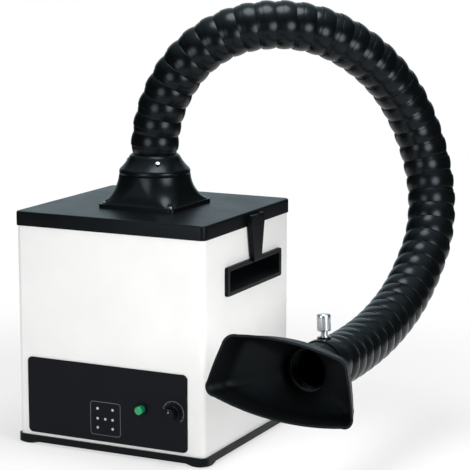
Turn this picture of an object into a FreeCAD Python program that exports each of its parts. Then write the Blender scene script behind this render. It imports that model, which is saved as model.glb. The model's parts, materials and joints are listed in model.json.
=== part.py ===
import FreeCAD
import Part

import os
from math import atan2, cos, hypot, pi, radians, sin

# Fume extractor: a cabinet with filters and a fan, a lift-off lid, and a suction arm of ball-jointed rings.
# Sizes are in millimetres. X runs right along the front, Y to the back, Z up.
# The origin is on the floor, under the middle of the cabinet.

Vector = FreeCAD.Vector
Placement = FreeCAD.Placement
Rotation = FreeCAD.Rotation
OUT_OF_FRONT = Rotation(Vector(0, 0, 1), Vector(0, -1, 0))

# Cabinet
CABINET_WIDTH = 340.0
CABINET_DEPTH = 314.0
CABINET_CORNER = 9.0
WALL = 2.5
BASE_OVERHANG = 4.0
BASE_TOP = 15.8
BASE_UNDERSIDE = 4.8
BASE_FLOOR = 3.0
FOOT_INSET = 19.0
FOOT_TOP_RADIUS = 27.0
FOOT_BOTTOM_RADIUS = 19.0
FOOT_PAD_RADIUS = 15.0
FOOT_PAD_HEIGHT = 1.5
FOOT_PAD_TOP = 3.5
FRONT = -CABINET_DEPTH / 2
REAR = CABINET_DEPTH / 2

# Lid
LID_TOP = 385.0
LID_EDGE = 23.0
LID_OVERHANG = 2.0
LID_PLATE = 4.0
LID_WALL = 4.0
LID_SEAT = LID_TOP - LID_EDGE
LID_WIDTH = CABINET_WIDTH + 2 * LID_OVERHANG
LID_DEPTH = CABINET_DEPTH + 2 * LID_OVERHANG
LOCATING_RIB = 8.0
GASKET_HEIGHT = 4.0
LEDGE_WIDTH = 12.0
LEDGE_HEIGHT = 4.0

# Grip cups and latch straps on the two sides
GRIP_LENGTH = 202.0
GRIP_BOTTOM = 261.0
GRIP_TOP = 308.0
GRIP_PROUD = 6.0
GRIP_RIM = 6.0
GRIP_DEPTH = 26.0
SIDE_MIDDLE = 15.0
STRAP_WIDTH = 47.0
STRAP_FOOT_WIDTH = 27.0
STRAP_BOTTOM = 303.0
STRAP_PIVOT_OUT = 4.8
STRAP_PIVOT_HEIGHT = 376.0
STRAP_CURL = 4.2
LATCH_PIN_RADIUS = 1.7
LUG_HALF_WIDTH = 10.0
GAP = 0.4

# Control fascia on the front
FASCIA_LEFT = -151.5
FASCIA_RIGHT = 140.5
FASCIA_BOTTOM = 21.0
FASCIA_TOP = 147.0
FASCIA_CORNER = 8.0
FASCIA_THICKNESS = 1.8
FASCIA_FACE = FRONT - FASCIA_THICKNESS
BUTTON_X = 59.6
BUTTON_Z = 83.5
BUTTON_RADIUS = 6.9
BUTTON_PROUD = 13.0
BUTTON_STEM = 11.0
BEZEL_RADIUS = 10.4
BARREL_RADIUS = 9.2
BARREL_END = FRONT + 20.0
KNOB_X = 116.0
KNOB_Z = 84.0
KNOB_SKIRT_RADIUS = 13.0
KNOB_RADIUS = 10.5
KNOB_HEIGHT = 17.0
SPINDLE_RADIUS = 3.0
LENS_RADIUS = 2.2
LENS_COLUMNS = (-21.5, -7.5, 6.0)
LENS_ROWS = (75.0, 58.5, 43.5)
LENS_MISSING = ((1, 0), (1, 2))

# Fan and filters inside
DECK_Z = 186.0
DECK_THICKNESS = 3.0
FAN_RADIUS = 95.0
FAN_EYE = 60.0
FAN_BACK_Z = 96.0
FAN_BLADE_HEIGHT = 66.0
FAN_BLADES = 9
SCROLL_RADIUS = 116.0
SCROLL_FLOOR_Z = 84.0
MOTOR_RADIUS = 44.0
MOTOR_BOTTOM = 36.0
MOTOR_TOP = 82.0
SHAFT_RADIUS = 5.0
FILTER_WIDTH = 280.0
FILTER_DEPTH = 272.0
FILTER_WALL = 6.0
SEAL_HEIGHT = 5.0
CARTRIDGE_HEIGHT = 112.0
CARBON_HEIGHT = 46.0
PLEATS = 24
PREFILTER_HEIGHT = 18.0

# Boot and collar that carry the arm
BOOT_FLANGE = 140.0
BOOT_FLANGE_HEIGHT = 6.0
BOOT_TOP = 436.0
BOOT_TOP_RADIUS = 58.5
BOOT_BORE = 50.0
COLLAR_RADIUS = 57.0
COLLAR_RIM_LATITUDE = -20.5
COLLAR_RIM_REACH = 40.0
COLLAR_SCREW_TURN = -55.5
COLLAR_SCREW_RADIUS = 47.2
COLLAR_SCREW_Z = 458.4

# Rings of the arm: each has a socket on the cabinet side and a ball on the nozzle side
RING_PITCH = 29.0
BALL_RADIUS = 37.8
SOCKET_RADIUS = 38.1
RING_BORE = 31.0
BULGE_RADIUS = 39.4
BULGE_MIDDLE = 5.5
LIP_LATITUDE = -5.0
LIP_REACH = 39.2
SHOULDER_LATITUDE = -15.8
SHOULDER_REACH = 38.8
BALL_END_LATITUDE = 10.0
SOCKET_STOP_LATITUDE = 22.0
ARM_BASE_Z = 483.5

# Arm sections: node name, rings, bend at each ring in degrees, direction of that bend in degrees
ARM_SECTIONS = (
    ("arm_base_ring", 1, 7.2, 14.0),
    ("arm_section_1", 4, 7.3, 13.1),
    ("arm_section_2", 5, 9.22, 31.2),
    ("arm_section_3", 5, 7.96, 47.2),
    ("arm_section_4", 5, 5.43, 38.1),
    ("arm_section_5", 5, 7.44, -15.6),
    ("arm_section_6", 5, 8.9, -12.7),
    ("arm_section_7", 5, 4.9, -30.0),
    ("arm_section_8", 4, 3.07, -34.0),
    ("arm_section_9", 4, 2.17, -49.3),
)

# Nozzle: distances run along its axis from the last ball's centre
NECK_BEND = 4.3
NECK_DIRECTION = 13.9
NECK_ROLL = 4.5
HOOD_ROLL = -5.7
SLEEVE_START = 17.0
SLEEVE_RADIUS = 35.6
NECK_BORE = 33.1
NECK_END = 56.0
CUFF_START = 22.5
CUFF_LIP = 38.6
CUFF_BULGE = 39.2
CUFF_FRONT = 37.8
SPIGOT_START = 23.0
SPIGOT_RADIUS = 32.8
SPIGOT_SEAT = 34.0
LOCK_AT = 35.5
LOCK_BOSS_RADIUS = 10.5
LOCK_BOSS_TOP = 40.6
LOCK_WASHER_RADIUS = 7.5
LOCK_BUSH_RADIUS = 5.2
LOCK_BUSH_TOP = 49.0
LOCK_STEM_RADIUS = 3.0
LOCK_KNOB_RADIUS = 10.3
LOCK_KNOB_HEIGHT = 25.0
HOOD_MOUTH = 182.8
HOOD_RADIUS = 35.6
HOOD_WALL = 3.0
HOOD_THROAT = 29.8
MOUTH_TOP_HALF = 93.9
MOUTH_BOTTOM_HALF = 117.9
MOUTH_HALF_HEIGHT = 44.6
MOUTH_TOP_BULGE = 10.6
MOUTH_BOTTOM_BULGE = 16.7
MOUTH_SIDE_BULGE = 2.3
MOUTH_CORNER = 16.6
MOUTH_CORNER_PULL = 0.66
# How far the hood has opened from round to mouth shape, at shares of its length
HOOD_SECTIONS = 20
FLARE_START = 0.36
FLARE_END = 0.76
FLARE_SHARE = 0.84


def box(x0, x1, y0, y1, z0, z1):
    """A block between two corners."""
    return Part.makeBox(x1 - x0, y1 - y0, z1 - z0, Vector(x0, y0, z0))


def rod(radius, start, end):
    """A round bar from one point to another."""
    along = end.sub(start)
    return Part.makeCylinder(radius, along.Length, start, along)


def post(radius, x, y, z0, z1):
    """An upright round bar."""
    return rod(radius, Vector(x, y, z0), Vector(x, y, z1))


def front_rod(radius, x, z, y0, y1):
    """A round bar square to the front."""
    return rod(radius, Vector(x, y0, z), Vector(x, y1, z))


def fuse(shapes):
    """One solid from several that touch or overlap."""
    shapes = list(shapes)
    return shapes[0].fuse(shapes[1:]).removeSplitter()


def cut(body, tools):
    """A body less several tools."""
    return body.cut(list(tools))


def flat(a, b):
    """A point of a plan outline."""
    return Vector(a, b, 0)


def upright(a, b):
    """A point of an outline drawn on the X-Z plane."""
    return Vector(a, 0, b)


def rounded_corners(corners, radius):
    """Start, middle and end of the arc that rounds each corner of a polygon."""
    arcs = []
    for index, (px, py) in enumerate(corners):
        ax, ay = corners[index - 1]
        bx, by = corners[(index + 1) % len(corners)]
        ux, uy = (ax - px) / hypot(ax - px, ay - py), (ay - py) / hypot(ax - px, ay - py)
        vx, vy = (bx - px) / hypot(bx - px, by - py), (by - py) / hypot(bx - px, by - py)
        wx, wy = (ux + vx) / hypot(ux + vx, uy + vy), (uy + vy) / hypot(ux + vx, uy + vy)
        cosine = ux * wx + uy * wy
        sine = abs(ux * wy - uy * wx)
        reach = radius * cosine / sine
        middle = radius / sine - radius
        arcs.append(((px + ux * reach, py + uy * reach),
                     (px + wx * middle, py + wy * middle),
                     (px + vx * reach, py + vy * reach)))
    return arcs


def arc(place, points):
    """An arc edge through three outline points."""
    return Part.Arc(*(place(*point) for point in points)).toShape()


def line(place, start, end):
    """A straight edge between two outline points."""
    return Part.LineSegment(place(*start), place(*end)).toShape()


def rounded_wire(place, corners, radius):
    """A closed outline of straight sides with rounded corners."""
    arcs = rounded_corners(corners, radius)
    edges = []
    for index, points in enumerate(arcs):
        edges.append(line(place, arcs[index - 1][2], points[0]))
        edges.append(arc(place, points))
    return Part.Wire(edges)


def rectangle(u0, u1, v0, v1):
    """Corners of a rectangle."""
    return [(u0, v0), (u1, v0), (u1, v1), (u0, v1)]


def slab(width, depth, radius, z0, z1):
    """A plate about the Z axis with rounded corners in plan."""
    corners = rectangle(-width / 2, width / 2, -depth / 2, depth / 2)
    wire = rounded_wire(lambda a, b: Vector(a, b, z0), corners, radius)
    return Part.Face(wire).extrude(Vector(0, 0, z1 - z0))


def front_plate(x0, x1, z0, z1, radius, y0, y1):
    """A plate parallel to the front with rounded corners."""
    wire = rounded_wire(lambda a, b: Vector(a, y0, b), rectangle(x0, x1, z0, z1), radius)
    return Part.Face(wire).extrude(Vector(0, y1 - y0, 0))


def side_plate(y0, y1, z0, z1, radius, x0, x1):
    """A plate parallel to the sides with rounded corners."""
    wire = rounded_wire(lambda a, b: Vector(x0, a, b), rectangle(y0, y1, z0, z1), radius)
    return Part.Face(wire).extrude(Vector(x1 - x0, 0, 0))


def outline(place, start, *steps):
    """A closed face: a step is a point for a straight edge, or two points for an arc."""
    edges = []
    last = start
    for step in steps + (start,):
        if isinstance(step[0], tuple):
            edges.append(arc(place, (last, step[0], step[1])))
            last = step[1]
        else:
            edges.append(line(place, last, step))
            last = step
    return Part.Face(Part.Wire(edges))


def turned(start, *steps):
    """A solid of revolution about Z from an outline of radius and height."""
    return outline(upright, start, *steps).revolve(Vector(0, 0, 0), Vector(0, 0, 1), 360)


def mirrored(shape):
    """The left-hand twin of a right-hand piece."""
    return shape.mirror(Vector(0, 0, 0), Vector(1, 0, 0))


def placed(shape, placement):
    """A copy of a piece, moved to its place."""
    copy = shape.copy()
    copy.Placement = placement.multiply(copy.Placement)
    return copy


def screw(at, direction, head_radius=3.6, head_height=2.2, shank_radius=1.9, shank=6.0):
    """A pan-head screw with a cross recess, its head standing on the point given."""
    way = Vector(direction).normalize()
    head = rod(head_radius, at, at + way * head_height)
    bar = box(-head_radius * 0.6, head_radius * 0.6, -0.45, 0.45, 0, 1.2)
    cross = bar.fuse(placed(bar, Placement(Vector(), Rotation(Vector(0, 0, 1), 90))))
    turn = Rotation(Vector(0, 0, 1), way)
    recess = placed(cross, Placement(at + way * (head_height - 0.9), turn))
    return head.cut(recess).fuse(rod(shank_radius, at - way * shank, at)).removeSplitter()


# Base and shell of the cabinet


def base_width():
    """Outer width of the base tray."""
    return CABINET_WIDTH + 2 * BASE_OVERHANG


def base_depth():
    """Outer depth of the base tray."""
    return CABINET_DEPTH + 2 * BASE_OVERHANG - 2


def foot_corners():
    """Signs of the four corners of the base."""
    return [(sx, sy) for sx in (-1, 1) for sy in (-1, 1)]


def foot_middle(sx, sy):
    """Centre of a foot in plan."""
    return sx * (base_width() / 2 - FOOT_INSET), sy * (base_depth() / 2 - FOOT_INSET)


def base_tray():
    """A shallow moulded tray, with a foot swelling down at each corner."""
    tray = slab(base_width(), base_depth(), 12, BASE_UNDERSIDE, BASE_TOP)
    hollow = slab(base_width() - 18, base_depth() - 18, 6, BASE_UNDERSIDE + BASE_FLOOR, BASE_TOP)
    limit = slab(base_width(), base_depth(), 12, 0, BASE_TOP)
    height = BASE_UNDERSIDE + 1 - FOOT_PAD_HEIGHT
    feet = []
    for sx, sy in foot_corners():
        at = Vector(*foot_middle(sx, sy), FOOT_PAD_HEIGHT)
        feet.append(Part.makeCone(FOOT_BOTTOM_RADIUS, FOOT_TOP_RADIUS, height, at).common(limit))
    body = fuse([tray.cut(hollow)] + feet)
    seats = [post(FOOT_PAD_RADIUS + 0.1, *foot_middle(sx, sy), 0, FOOT_PAD_TOP) for sx, sy in foot_corners()]
    return cut(body, seats)


def foot_pads():
    """A rubber disc under each foot."""
    return Part.makeCompound([post(FOOT_PAD_RADIUS, *foot_middle(sx, sy), 0, FOOT_PAD_TOP)
                              for sx, sy in foot_corners()])


def ledge_z():
    """Top of the ledge that the lid's gasket closes on."""
    return LID_SEAT - LOCATING_RIB - GASKET_HEIGHT


def at_side(shape):
    """Move a fitting of the cabinet's side to its place between front and back."""
    return shape.translated(Vector(0, SIDE_MIDDLE, 0))


def scroll_outlet():
    """The four limits of the fan's outlet duct, across and up."""
    return 34.0, SCROLL_RADIUS, SCROLL_FLOOR_Z, DECK_Z


def cabinet_shell():
    """The white wrap round the front and sides, open at the top and bottom and at the back."""
    outer = slab(CABINET_WIDTH, CABINET_DEPTH, CABINET_CORNER, BASE_TOP, LID_SEAT)
    inner_width = CABINET_WIDTH - 2 * WALL
    inner_depth = CABINET_DEPTH - 2 * WALL
    inner = slab(inner_width, inner_depth, CABINET_CORNER - WALL, BASE_TOP, LID_SEAT)
    ledge = slab(inner_width, inner_depth, CABINET_CORNER - WALL, ledge_z() - LEDGE_HEIGHT, ledge_z())
    opening = slab(inner_width - 2 * LEDGE_WIDTH, inner_depth - 2 * LEDGE_WIDTH, 6, 0, LID_SEAT)
    shell = fuse([outer.cut(inner), ledge.cut(opening)])
    rear_window = front_plate(-152, 152, BASE_TOP + 12, DECK_Z + 20, 6, REAR - WALL - 1, REAR + 1)
    grip = GRIP_LENGTH / 2 - GRIP_RIM + 0.5
    side_window = at_side(side_plate(-grip, grip, GRIP_BOTTOM + GRIP_RIM - 1.5, GRIP_TOP - GRIP_RIM + 1.5, 5,
                                     -CABINET_WIDTH, CABINET_WIDTH))
    button_hole = front_rod(BARREL_RADIUS + 0.3, BUTTON_X, BUTTON_Z, FRONT - 1, FRONT + 6)
    spindle_hole = front_rod(5, KNOB_X, KNOB_Z, FRONT - 1, FRONT + 6)
    lens_window = box(LENS_COLUMNS[0] - 6, LENS_COLUMNS[-1] + 6, FRONT - 1, FRONT + 6,
                      LENS_ROWS[-1] - 6, LENS_ROWS[0] + 6)
    return cut(shell, [rear_window, side_window, button_hole, spindle_hole, lens_window])


def rear_screw_points():
    """Where the rear panel is screwed on."""
    return [(x, z) for x in (-156, 0, 156) for z in (BASE_TOP + 8, DECK_Z + 26)]


def inlet_middle():
    """Centre of the power inlet on the rear panel."""
    return -105.0, 60.0


def rear_panel():
    """The rear cover, with exhaust slots in front of the fan's outlet and a cut-out for the power inlet."""
    y0 = REAR
    y1 = REAR + 1.6
    panel = front_plate(-162, 162, BASE_TOP + 2, DECK_Z + 32, 6, y0, y1)
    x0, x1, z0, z1 = scroll_outlet()
    slots = []
    rows = 12
    step = (z1 - z0 - 12) / rows
    for row in range(rows):
        low = z0 + 8 + row * step
        for left in (x0 + 4, (x0 + x1) / 2 + 2):
            right = left + (x1 - x0) / 2 - 7
            slots.append(front_plate(left, right, low, low + step * 0.5, step * 0.24, y0 - 1, y1 + 1))
    x, z = inlet_middle()
    cut_out = front_plate(x - 14, x + 14, z - 10.5, z + 10.5, 3, y0 - 1, y1 + 1)
    holes = [front_rod(2.1, a, b, y0 - 1, y1 + 1) for a, b in rear_screw_points()]
    ears = [front_rod(1.9, x + s * 20, z, y0 - 1, y1 + 1) for s in (-1, 1)]
    return cut(panel, slots + [cut_out] + holes + ears)


def rear_panel_screws():
    """Screws that hold the rear panel, heads outside."""
    return Part.makeCompound([screw(Vector(x, REAR + 1.6, z), Vector(0, 1, 0), shank=1.6)
                              for x, z in rear_screw_points()])


def power_inlet():
    """A three-pin appliance inlet: flange outside, body inside, a hollow for the plug."""
    x, z = inlet_middle()
    y = REAR + 1.6
    flange = front_plate(x - 25, x + 25, z - 13, z + 13, 4, y, y + 2.5)
    body = front_plate(x - 13.8, x + 13.8, z - 10.3, z + 10.3, 3, y - 22, y)
    hollow = front_plate(x - 11.8, x + 11.8, z - 8.2, z + 8.2, 3, y - 17, y + 4)
    ears = [front_rod(1.9, x + s * 20, z, y - 1, y + 4) for s in (-1, 1)]
    return cut(flange.fuse(body).removeSplitter(), [hollow] + ears + inlet_pin_blocks())


def inlet_pin_blocks():
    """The three flat pins of the inlet, before their ends are rounded."""
    x, z = inlet_middle()
    y = REAR + 1.6
    places = ((-7.0, -2.0), (0.0, 2.0), (7.0, -2.0))
    return [box(x + a - 1, x + a + 1, y - 26, y - 3, z + b - 2, z + b + 2) for a, b in places]


def inlet_pins():
    """The three brass pins of the power inlet."""
    return Part.makeCompound(inlet_pin_blocks())


def inlet_screws():
    """Two countersunk screws that hold the inlet."""
    x, z = inlet_middle()
    return Part.makeCompound([screw(Vector(x + s * 20, REAR + 4.1, z), Vector(0, 1, 0), 3.0, 1.6, 1.7, 3.5)
                              for s in (-1, 1)])


# Grip cups and latch straps


def grip_face():
    """Distance of the grip rim's face from the middle."""
    return CABINET_WIDTH / 2 + GRIP_PROUD


def grip_cup():
    """The right grip: a raised rim round a hollow that is deep at the top and slopes out at the bottom."""
    half = GRIP_LENGTH / 2
    wall = CABINET_WIDTH / 2
    rim = side_plate(-half, half, GRIP_BOTTOM, GRIP_TOP, 4, wall, grip_face())
    inner = half - GRIP_RIM
    low = GRIP_BOTTOM + GRIP_RIM
    high = GRIP_TOP - GRIP_RIM
    body = side_plate(-inner, inner, low - 1, high + 1, 4, wall - GRIP_DEPTH, wall)
    back = wall - GRIP_DEPTH + 2.5
    out = grip_face() + 1
    end = inner - 2.5
    hollow = outline(lambda a, b: Vector(a, -end, b), (out, high - 1), (back, high - 1), (back, high - 12),
                     ((wall - 6, low + 9), (out, low)))
    return at_side(rim.fuse(body).removeSplitter().cut(hollow.extrude(Vector(0, 2 * end, 0))))


def strap_pivot():
    """Distance of the latch pin from the middle."""
    return LID_WIDTH / 2 + STRAP_PIVOT_OUT


def latch_strap():
    """The right latch: a strap that hangs from the lid's side and closes over the grip's top rim."""
    px = strap_pivot()
    pz = STRAP_PIVOT_HEIGHT
    outer = px + STRAP_CURL
    inner = px - STRAP_CURL
    heel = grip_face() + GAP
    step_z = GRIP_TOP + 2
    half = STRAP_WIDTH / 2
    profile = outline(lambda a, b: Vector(a, -half, b), (inner, pz), ((px, pz + STRAP_CURL), (outer, pz)),
                      (outer, STRAP_BOTTOM + 2), (outer - 2, STRAP_BOTTOM), (heel, STRAP_BOTTOM),
                      (heel, step_z), (inner, step_z + 3))
    strap = profile.extrude(Vector(0, STRAP_WIDTH, 0))
    tapers = []
    for s in (-1, 1):
        foot = s * STRAP_FOOT_WIDTH / 2
        top = s * (half + 0.1)
        low = STRAP_BOTTOM - 1
        wedge = outline(lambda a, b: Vector(px - 20, a, b), (top, pz - 10), (top, low), (foot, low),
                        (foot, STRAP_BOTTOM + 4))
        tapers.append(wedge.extrude(Vector(40, 0, 0)))
    room = LUG_HALF_WIDTH + GAP
    lug_room = rod(STRAP_CURL - 0.9, Vector(px, -room, pz), Vector(px, room, pz))
    swing_room = box(px - 20, px + 1.5, -room, room, pz - STRAP_CURL + 0.9, pz + 20)
    knuckle_room = box(px - 20, px + 20, -room, room, pz + 0.3, pz + 20)
    pin_hole = rod(LATCH_PIN_RADIUS + 0.05, Vector(px, -half + 3, pz), Vector(px, half - 3, pz))
    return at_side(cut(strap, tapers + [lug_room, swing_room, knuckle_room, pin_hole]))


def latch_pin():
    """The steel pin of the right latch."""
    half = STRAP_WIDTH / 2 - 3.2
    pivot = Vector(strap_pivot(), 0, STRAP_PIVOT_HEIGHT)
    return at_side(rod(LATCH_PIN_RADIUS, pivot - Vector(0, half, 0), pivot + Vector(0, half, 0)))


def latch_lug():
    """The knuckle on the lid's right side that carries the latch pin."""
    px = strap_pivot()
    pz = STRAP_PIVOT_HEIGHT
    radius = STRAP_CURL - 1.4
    barrel = rod(radius, Vector(px, -LUG_HALF_WIDTH, pz), Vector(px, LUG_HALF_WIDTH, pz))
    root = box(LID_WIDTH / 2 - 2, px, -LUG_HALF_WIDTH, LUG_HALF_WIDTH, pz - radius, pz + radius)
    hole = rod(LATCH_PIN_RADIUS + 0.02, Vector(px, -20, pz), Vector(px, 20, pz))
    return at_side(barrel.fuse(root).removeSplitter().cut(hole))


# Lid, boot and collar


def flange_screw_points():
    """Corners where the boot's flange is screwed to the lid."""
    reach = BOOT_FLANGE / 2 - 10
    return [(sx * reach, sy * reach) for sx, sy in foot_corners()]


def lid():
    """The black lid: a plate with a rim, a rib that drops inside the cabinet, and two latch knuckles."""
    outer = slab(LID_WIDTH, LID_DEPTH, 10, LID_SEAT, LID_TOP)
    top_edges = [edge for edge in outer.Edges if edge.BoundBox.ZMin > LID_TOP - 0.01]
    outer = outer.makeFillet(3.0, top_edges)
    hollow = slab(LID_WIDTH - 2 * LID_WALL, LID_DEPTH - 2 * LID_WALL, 6, LID_SEAT, LID_TOP - LID_PLATE)
    rib_width = CABINET_WIDTH - 2 * WALL - 1.2
    rib_depth = CABINET_DEPTH - 2 * WALL - 1.2
    rib = slab(rib_width, rib_depth, 5, LID_SEAT - LOCATING_RIB, LID_TOP - LID_PLATE)
    rib = rib.cut(slab(rib_width - 8, rib_depth - 8, 3, 0, LID_TOP))
    bridge = slab(rib_width + 6, rib_depth + 6, 5, LID_TOP - LID_PLATE - 4, LID_TOP - LID_PLATE)
    bridge = bridge.cut(slab(rib_width - 8, rib_depth - 8, 3, 0, LID_TOP))
    duct = post(BOOT_BORE, 0, 0, LID_SEAT, LID_TOP + 1)
    holes = [post(1.95, x, y, LID_SEAT, LID_TOP + 1) for x, y in flange_screw_points()]
    shell = cut(outer.cut(hollow), [duct] + holes)
    return fuse([shell, rib, bridge, latch_lug(), mirrored(latch_lug())])


def lid_gasket():
    """A foam strip under the lid's rib."""
    width = CABINET_WIDTH - 2 * WALL - 1.2
    depth = CABINET_DEPTH - 2 * WALL - 1.2
    strip = slab(width - 1, depth - 1, 4, ledge_z(), ledge_z() + GASKET_HEIGHT)
    return strip.cut(slab(width - 13, depth - 13, 3, 0, LID_TOP))


def square_wire(half, corner, z):
    """A rounded square of eight edges, for the boot's round-to-square flare."""
    return rounded_wire(lambda a, b: Vector(a, b, z), rectangle(-half, half, -half, half), corner)


def arm_boot():
    """The boot on the lid: a square flange that flares in to a round top."""
    base = LID_TOP + BOOT_FLANGE_HEIGHT
    flange = slab(BOOT_FLANGE, BOOT_FLANGE, 10, LID_TOP, base)
    rise = BOOT_TOP - base
    waist = BOOT_TOP_RADIUS
    sections = [square_wire(waist + 9.5, 14, base),
                square_wire(waist + 5.0, 30, base + rise * 0.2),
                square_wire(waist + 1.8, 46, base + rise * 0.5),
                square_wire(waist, waist - 0.5, BOOT_TOP)]
    flare = Part.makeLoft(sections, True, False)
    bore = post(BOOT_BORE, 0, 0, LID_TOP - 1, BOOT_TOP + 1)
    holes = [post(1.95, x, y, LID_TOP - 1, base) for x, y in flange_screw_points()]
    seats = [post(4.6, x, y, base, base + 30) for x, y in flange_screw_points()]
    return cut(flange.fuse(flare).removeSplitter(), [bore] + holes + seats)


def flange_screws():
    """The four screws of the boot's flange."""
    z = LID_TOP + BOOT_FLANGE_HEIGHT
    return Part.makeCompound([screw(Vector(x, y, z), Vector(0, 0, 1), 4.2, 2.8, 1.9, 9.5)
                              for x, y in flange_screw_points()])


def polar(radius, latitude, height=0.0):
    """Radius and height of a point on a ball, from its latitude."""
    angle = radians(latitude)
    return radius * cos(angle), height + radius * sin(angle)


def collar_screw_turns():
    """Angles round the collar of its three screws."""
    return [COLLAR_SCREW_TURN + 120.0 * index for index in range(3)]


def collar_screw_seat(turn):
    """Point on the collar's cone where a screw stands, and the way it points."""
    angle = radians(turn)
    way = Vector(cos(angle) * 0.62, sin(angle) * 0.62, 0.78)
    return Vector(COLLAR_SCREW_RADIUS * cos(angle), COLLAR_SCREW_RADIUS * sin(angle), COLLAR_SCREW_Z), way


def arm_collar():
    """The bell on the boot, with the ball that the first ring turns on."""
    start = polar(BALL_RADIUS, COLLAR_RIM_LATITUDE, ARM_BASE_Z)
    rim = polar(COLLAR_RIM_REACH, COLLAR_RIM_LATITUDE, ARM_BASE_Z)
    end = polar(BALL_RADIUS, BALL_END_LATITUDE, ARM_BASE_Z)
    bell = turned((RING_BORE, end[1]), (RING_BORE, 462), (BOOT_BORE, 442), (BOOT_BORE, BOOT_TOP),
                  (COLLAR_RADIUS + 0.5, BOOT_TOP), (COLLAR_RADIUS + 1.2, BOOT_TOP + 2.5),
                  ((COLLAR_RADIUS + 0.9, 443.5), (COLLAR_RADIUS - 1.7, 447)),
                  ((46.0, 458.0), (rim[0] + 3.5, rim[1] - 3)), rim, start,
                  (polar(BALL_RADIUS, -5, ARM_BASE_Z), end))
    holes = []
    for turn in collar_screw_turns():
        seat, way = collar_screw_seat(turn)
        holes.append(rod(1.75, seat - way * 3.2, seat + way * 8))
        holes.append(rod(3.7, seat - way * 0.4, seat + way * 12))
    return cut(bell, holes)


def collar_screws():
    """Screws round the collar."""
    screws = []
    for turn in collar_screw_turns():
        seat, way = collar_screw_seat(turn)
        screws.append(screw(seat - way * 0.4, way, 3.2, 1.9, 1.6, 2.6))
    return Part.makeCompound(screws)


# Arm


def ring():
    """One ring: a bulged socket with a crisp lip, and a ball that stands out of its shoulder."""
    lip_in = polar(SOCKET_RADIUS, LIP_LATITUDE)
    lip_out = polar(LIP_REACH, LIP_LATITUDE)
    stop = polar(SOCKET_RADIUS, SOCKET_STOP_LATITUDE)
    ball_end = polar(BALL_RADIUS, BALL_END_LATITUDE, RING_PITCH)
    shoulder_in = polar(BALL_RADIUS, SHOULDER_LATITUDE, RING_PITCH)
    shoulder_out = polar(SHOULDER_REACH, SHOULDER_LATITUDE, RING_PITCH)
    return turned(lip_in, (polar(SOCKET_RADIUS, 5), stop), (RING_BORE, stop[1]), (RING_BORE, ball_end[1]),
                  ball_end, (polar(BALL_RADIUS, -5, RING_PITCH), shoulder_in), shoulder_out,
                  ((BULGE_RADIUS, BULGE_MIDDLE), lip_out))


def bend_axis(direction):
    """The axis that a ring turns on when it bends in a direction."""
    return Vector(-sin(radians(direction)), cos(radians(direction)), 0)


def arm_placements():
    """The place of every ring in order, as (node, placement, bend axis), and the place of the last ball."""
    rings = []
    turn = Rotation()
    centre = Vector(0, 0, ARM_BASE_Z)
    for node, count, bend, direction in ARM_SECTIONS:
        axis = bend_axis(direction)
        for _ in range(count):
            hinge = turn.multVec(axis)
            turn = turn.multiply(Rotation(axis, bend))
            rings.append((node, Placement(centre, turn), hinge))
            centre = centre + turn.multVec(Vector(0, 0, RING_PITCH))
    return rings, Placement(centre, turn)


def arm_sections():
    """The rings of each section, as separate solids."""
    one = ring()
    sections = {}
    for node, place, _ in arm_placements()[0]:
        sections.setdefault(node, []).append(placed(one, place))
    return {node: Part.makeCompound(rings) for node, rings in sections.items()}


# Nozzle


def nozzle_place(roll):
    """Frame of a nozzle piece: its Z runs out along the neck, and its Y leans from upright by the roll."""
    end = arm_placements()[1]
    along = end.Rotation.multiply(Rotation(bend_axis(NECK_DIRECTION), NECK_BEND)).multVec(Vector(0, 0, 1))
    across = Vector(0, 0, 1).cross(along).normalize()
    level = Rotation(across, along.cross(across), along, "ZXY")
    return Placement(end.Base, level.multiply(Rotation(Vector(0, 0, 1), roll)))


def nozzle_neck():
    """The neck: a socket on the last ball, shaped as a ring is, and a sleeve for the cuff and the hood."""
    lip_in = polar(SOCKET_RADIUS, LIP_LATITUDE)
    lip_out = polar(LIP_REACH, LIP_LATITUDE)
    stop = polar(SOCKET_RADIUS, SOCKET_STOP_LATITUDE)
    web = stop[1] + 2.5
    body = turned(lip_in, (polar(SOCKET_RADIUS, 5), stop), (RING_BORE + 1, stop[1]), (RING_BORE + 1, web),
                  (NECK_BORE, web), (NECK_BORE, NECK_END), (SLEEVE_RADIUS, NECK_END),
                  (SLEEVE_RADIUS, SLEEVE_START), ((BULGE_RADIUS, BULGE_MIDDLE), lip_out))
    return body.cut(lock_hole())


def lock_hole():
    """The hole for the lock screw's bush."""
    return front_rod(LOCK_BUSH_RADIUS, 0, LOCK_AT, 20, 60)


def clamp_cuff():
    """The cuff on the neck's sleeve, with a boss for the lock screw."""
    seat = SLEEVE_RADIUS + 0.02
    cuff = turned((seat, CUFF_START), (seat, NECK_END), (CUFF_FRONT, NECK_END),
                  ((CUFF_BULGE, (CUFF_START + NECK_END) / 2), (CUFF_LIP, CUFF_START)))
    boss = front_rod(LOCK_BOSS_RADIUS, 0, LOCK_AT, 20, LOCK_BOSS_TOP)
    return cut(cuff.fuse(boss.cut(post(seat, 0, 0, 0, NECK_END + 9))).removeSplitter(), [lock_hole()])


def lock_bush():
    """The metal bush let into the cuff's boss, with a washer face on top."""
    low = NECK_BORE + 1.2
    stem = front_rod(LOCK_BUSH_RADIUS - 0.02, 0, LOCK_AT, low, LOCK_BUSH_TOP)
    washer = front_rod(LOCK_WASHER_RADIUS, 0, LOCK_AT, LOCK_BOSS_TOP, LOCK_BOSS_TOP + 1.6)
    hole = front_rod(LOCK_STEM_RADIUS + 0.06, 0, LOCK_AT, 20, 60)
    return stem.fuse(washer).removeSplitter().cut(hole)


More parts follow.
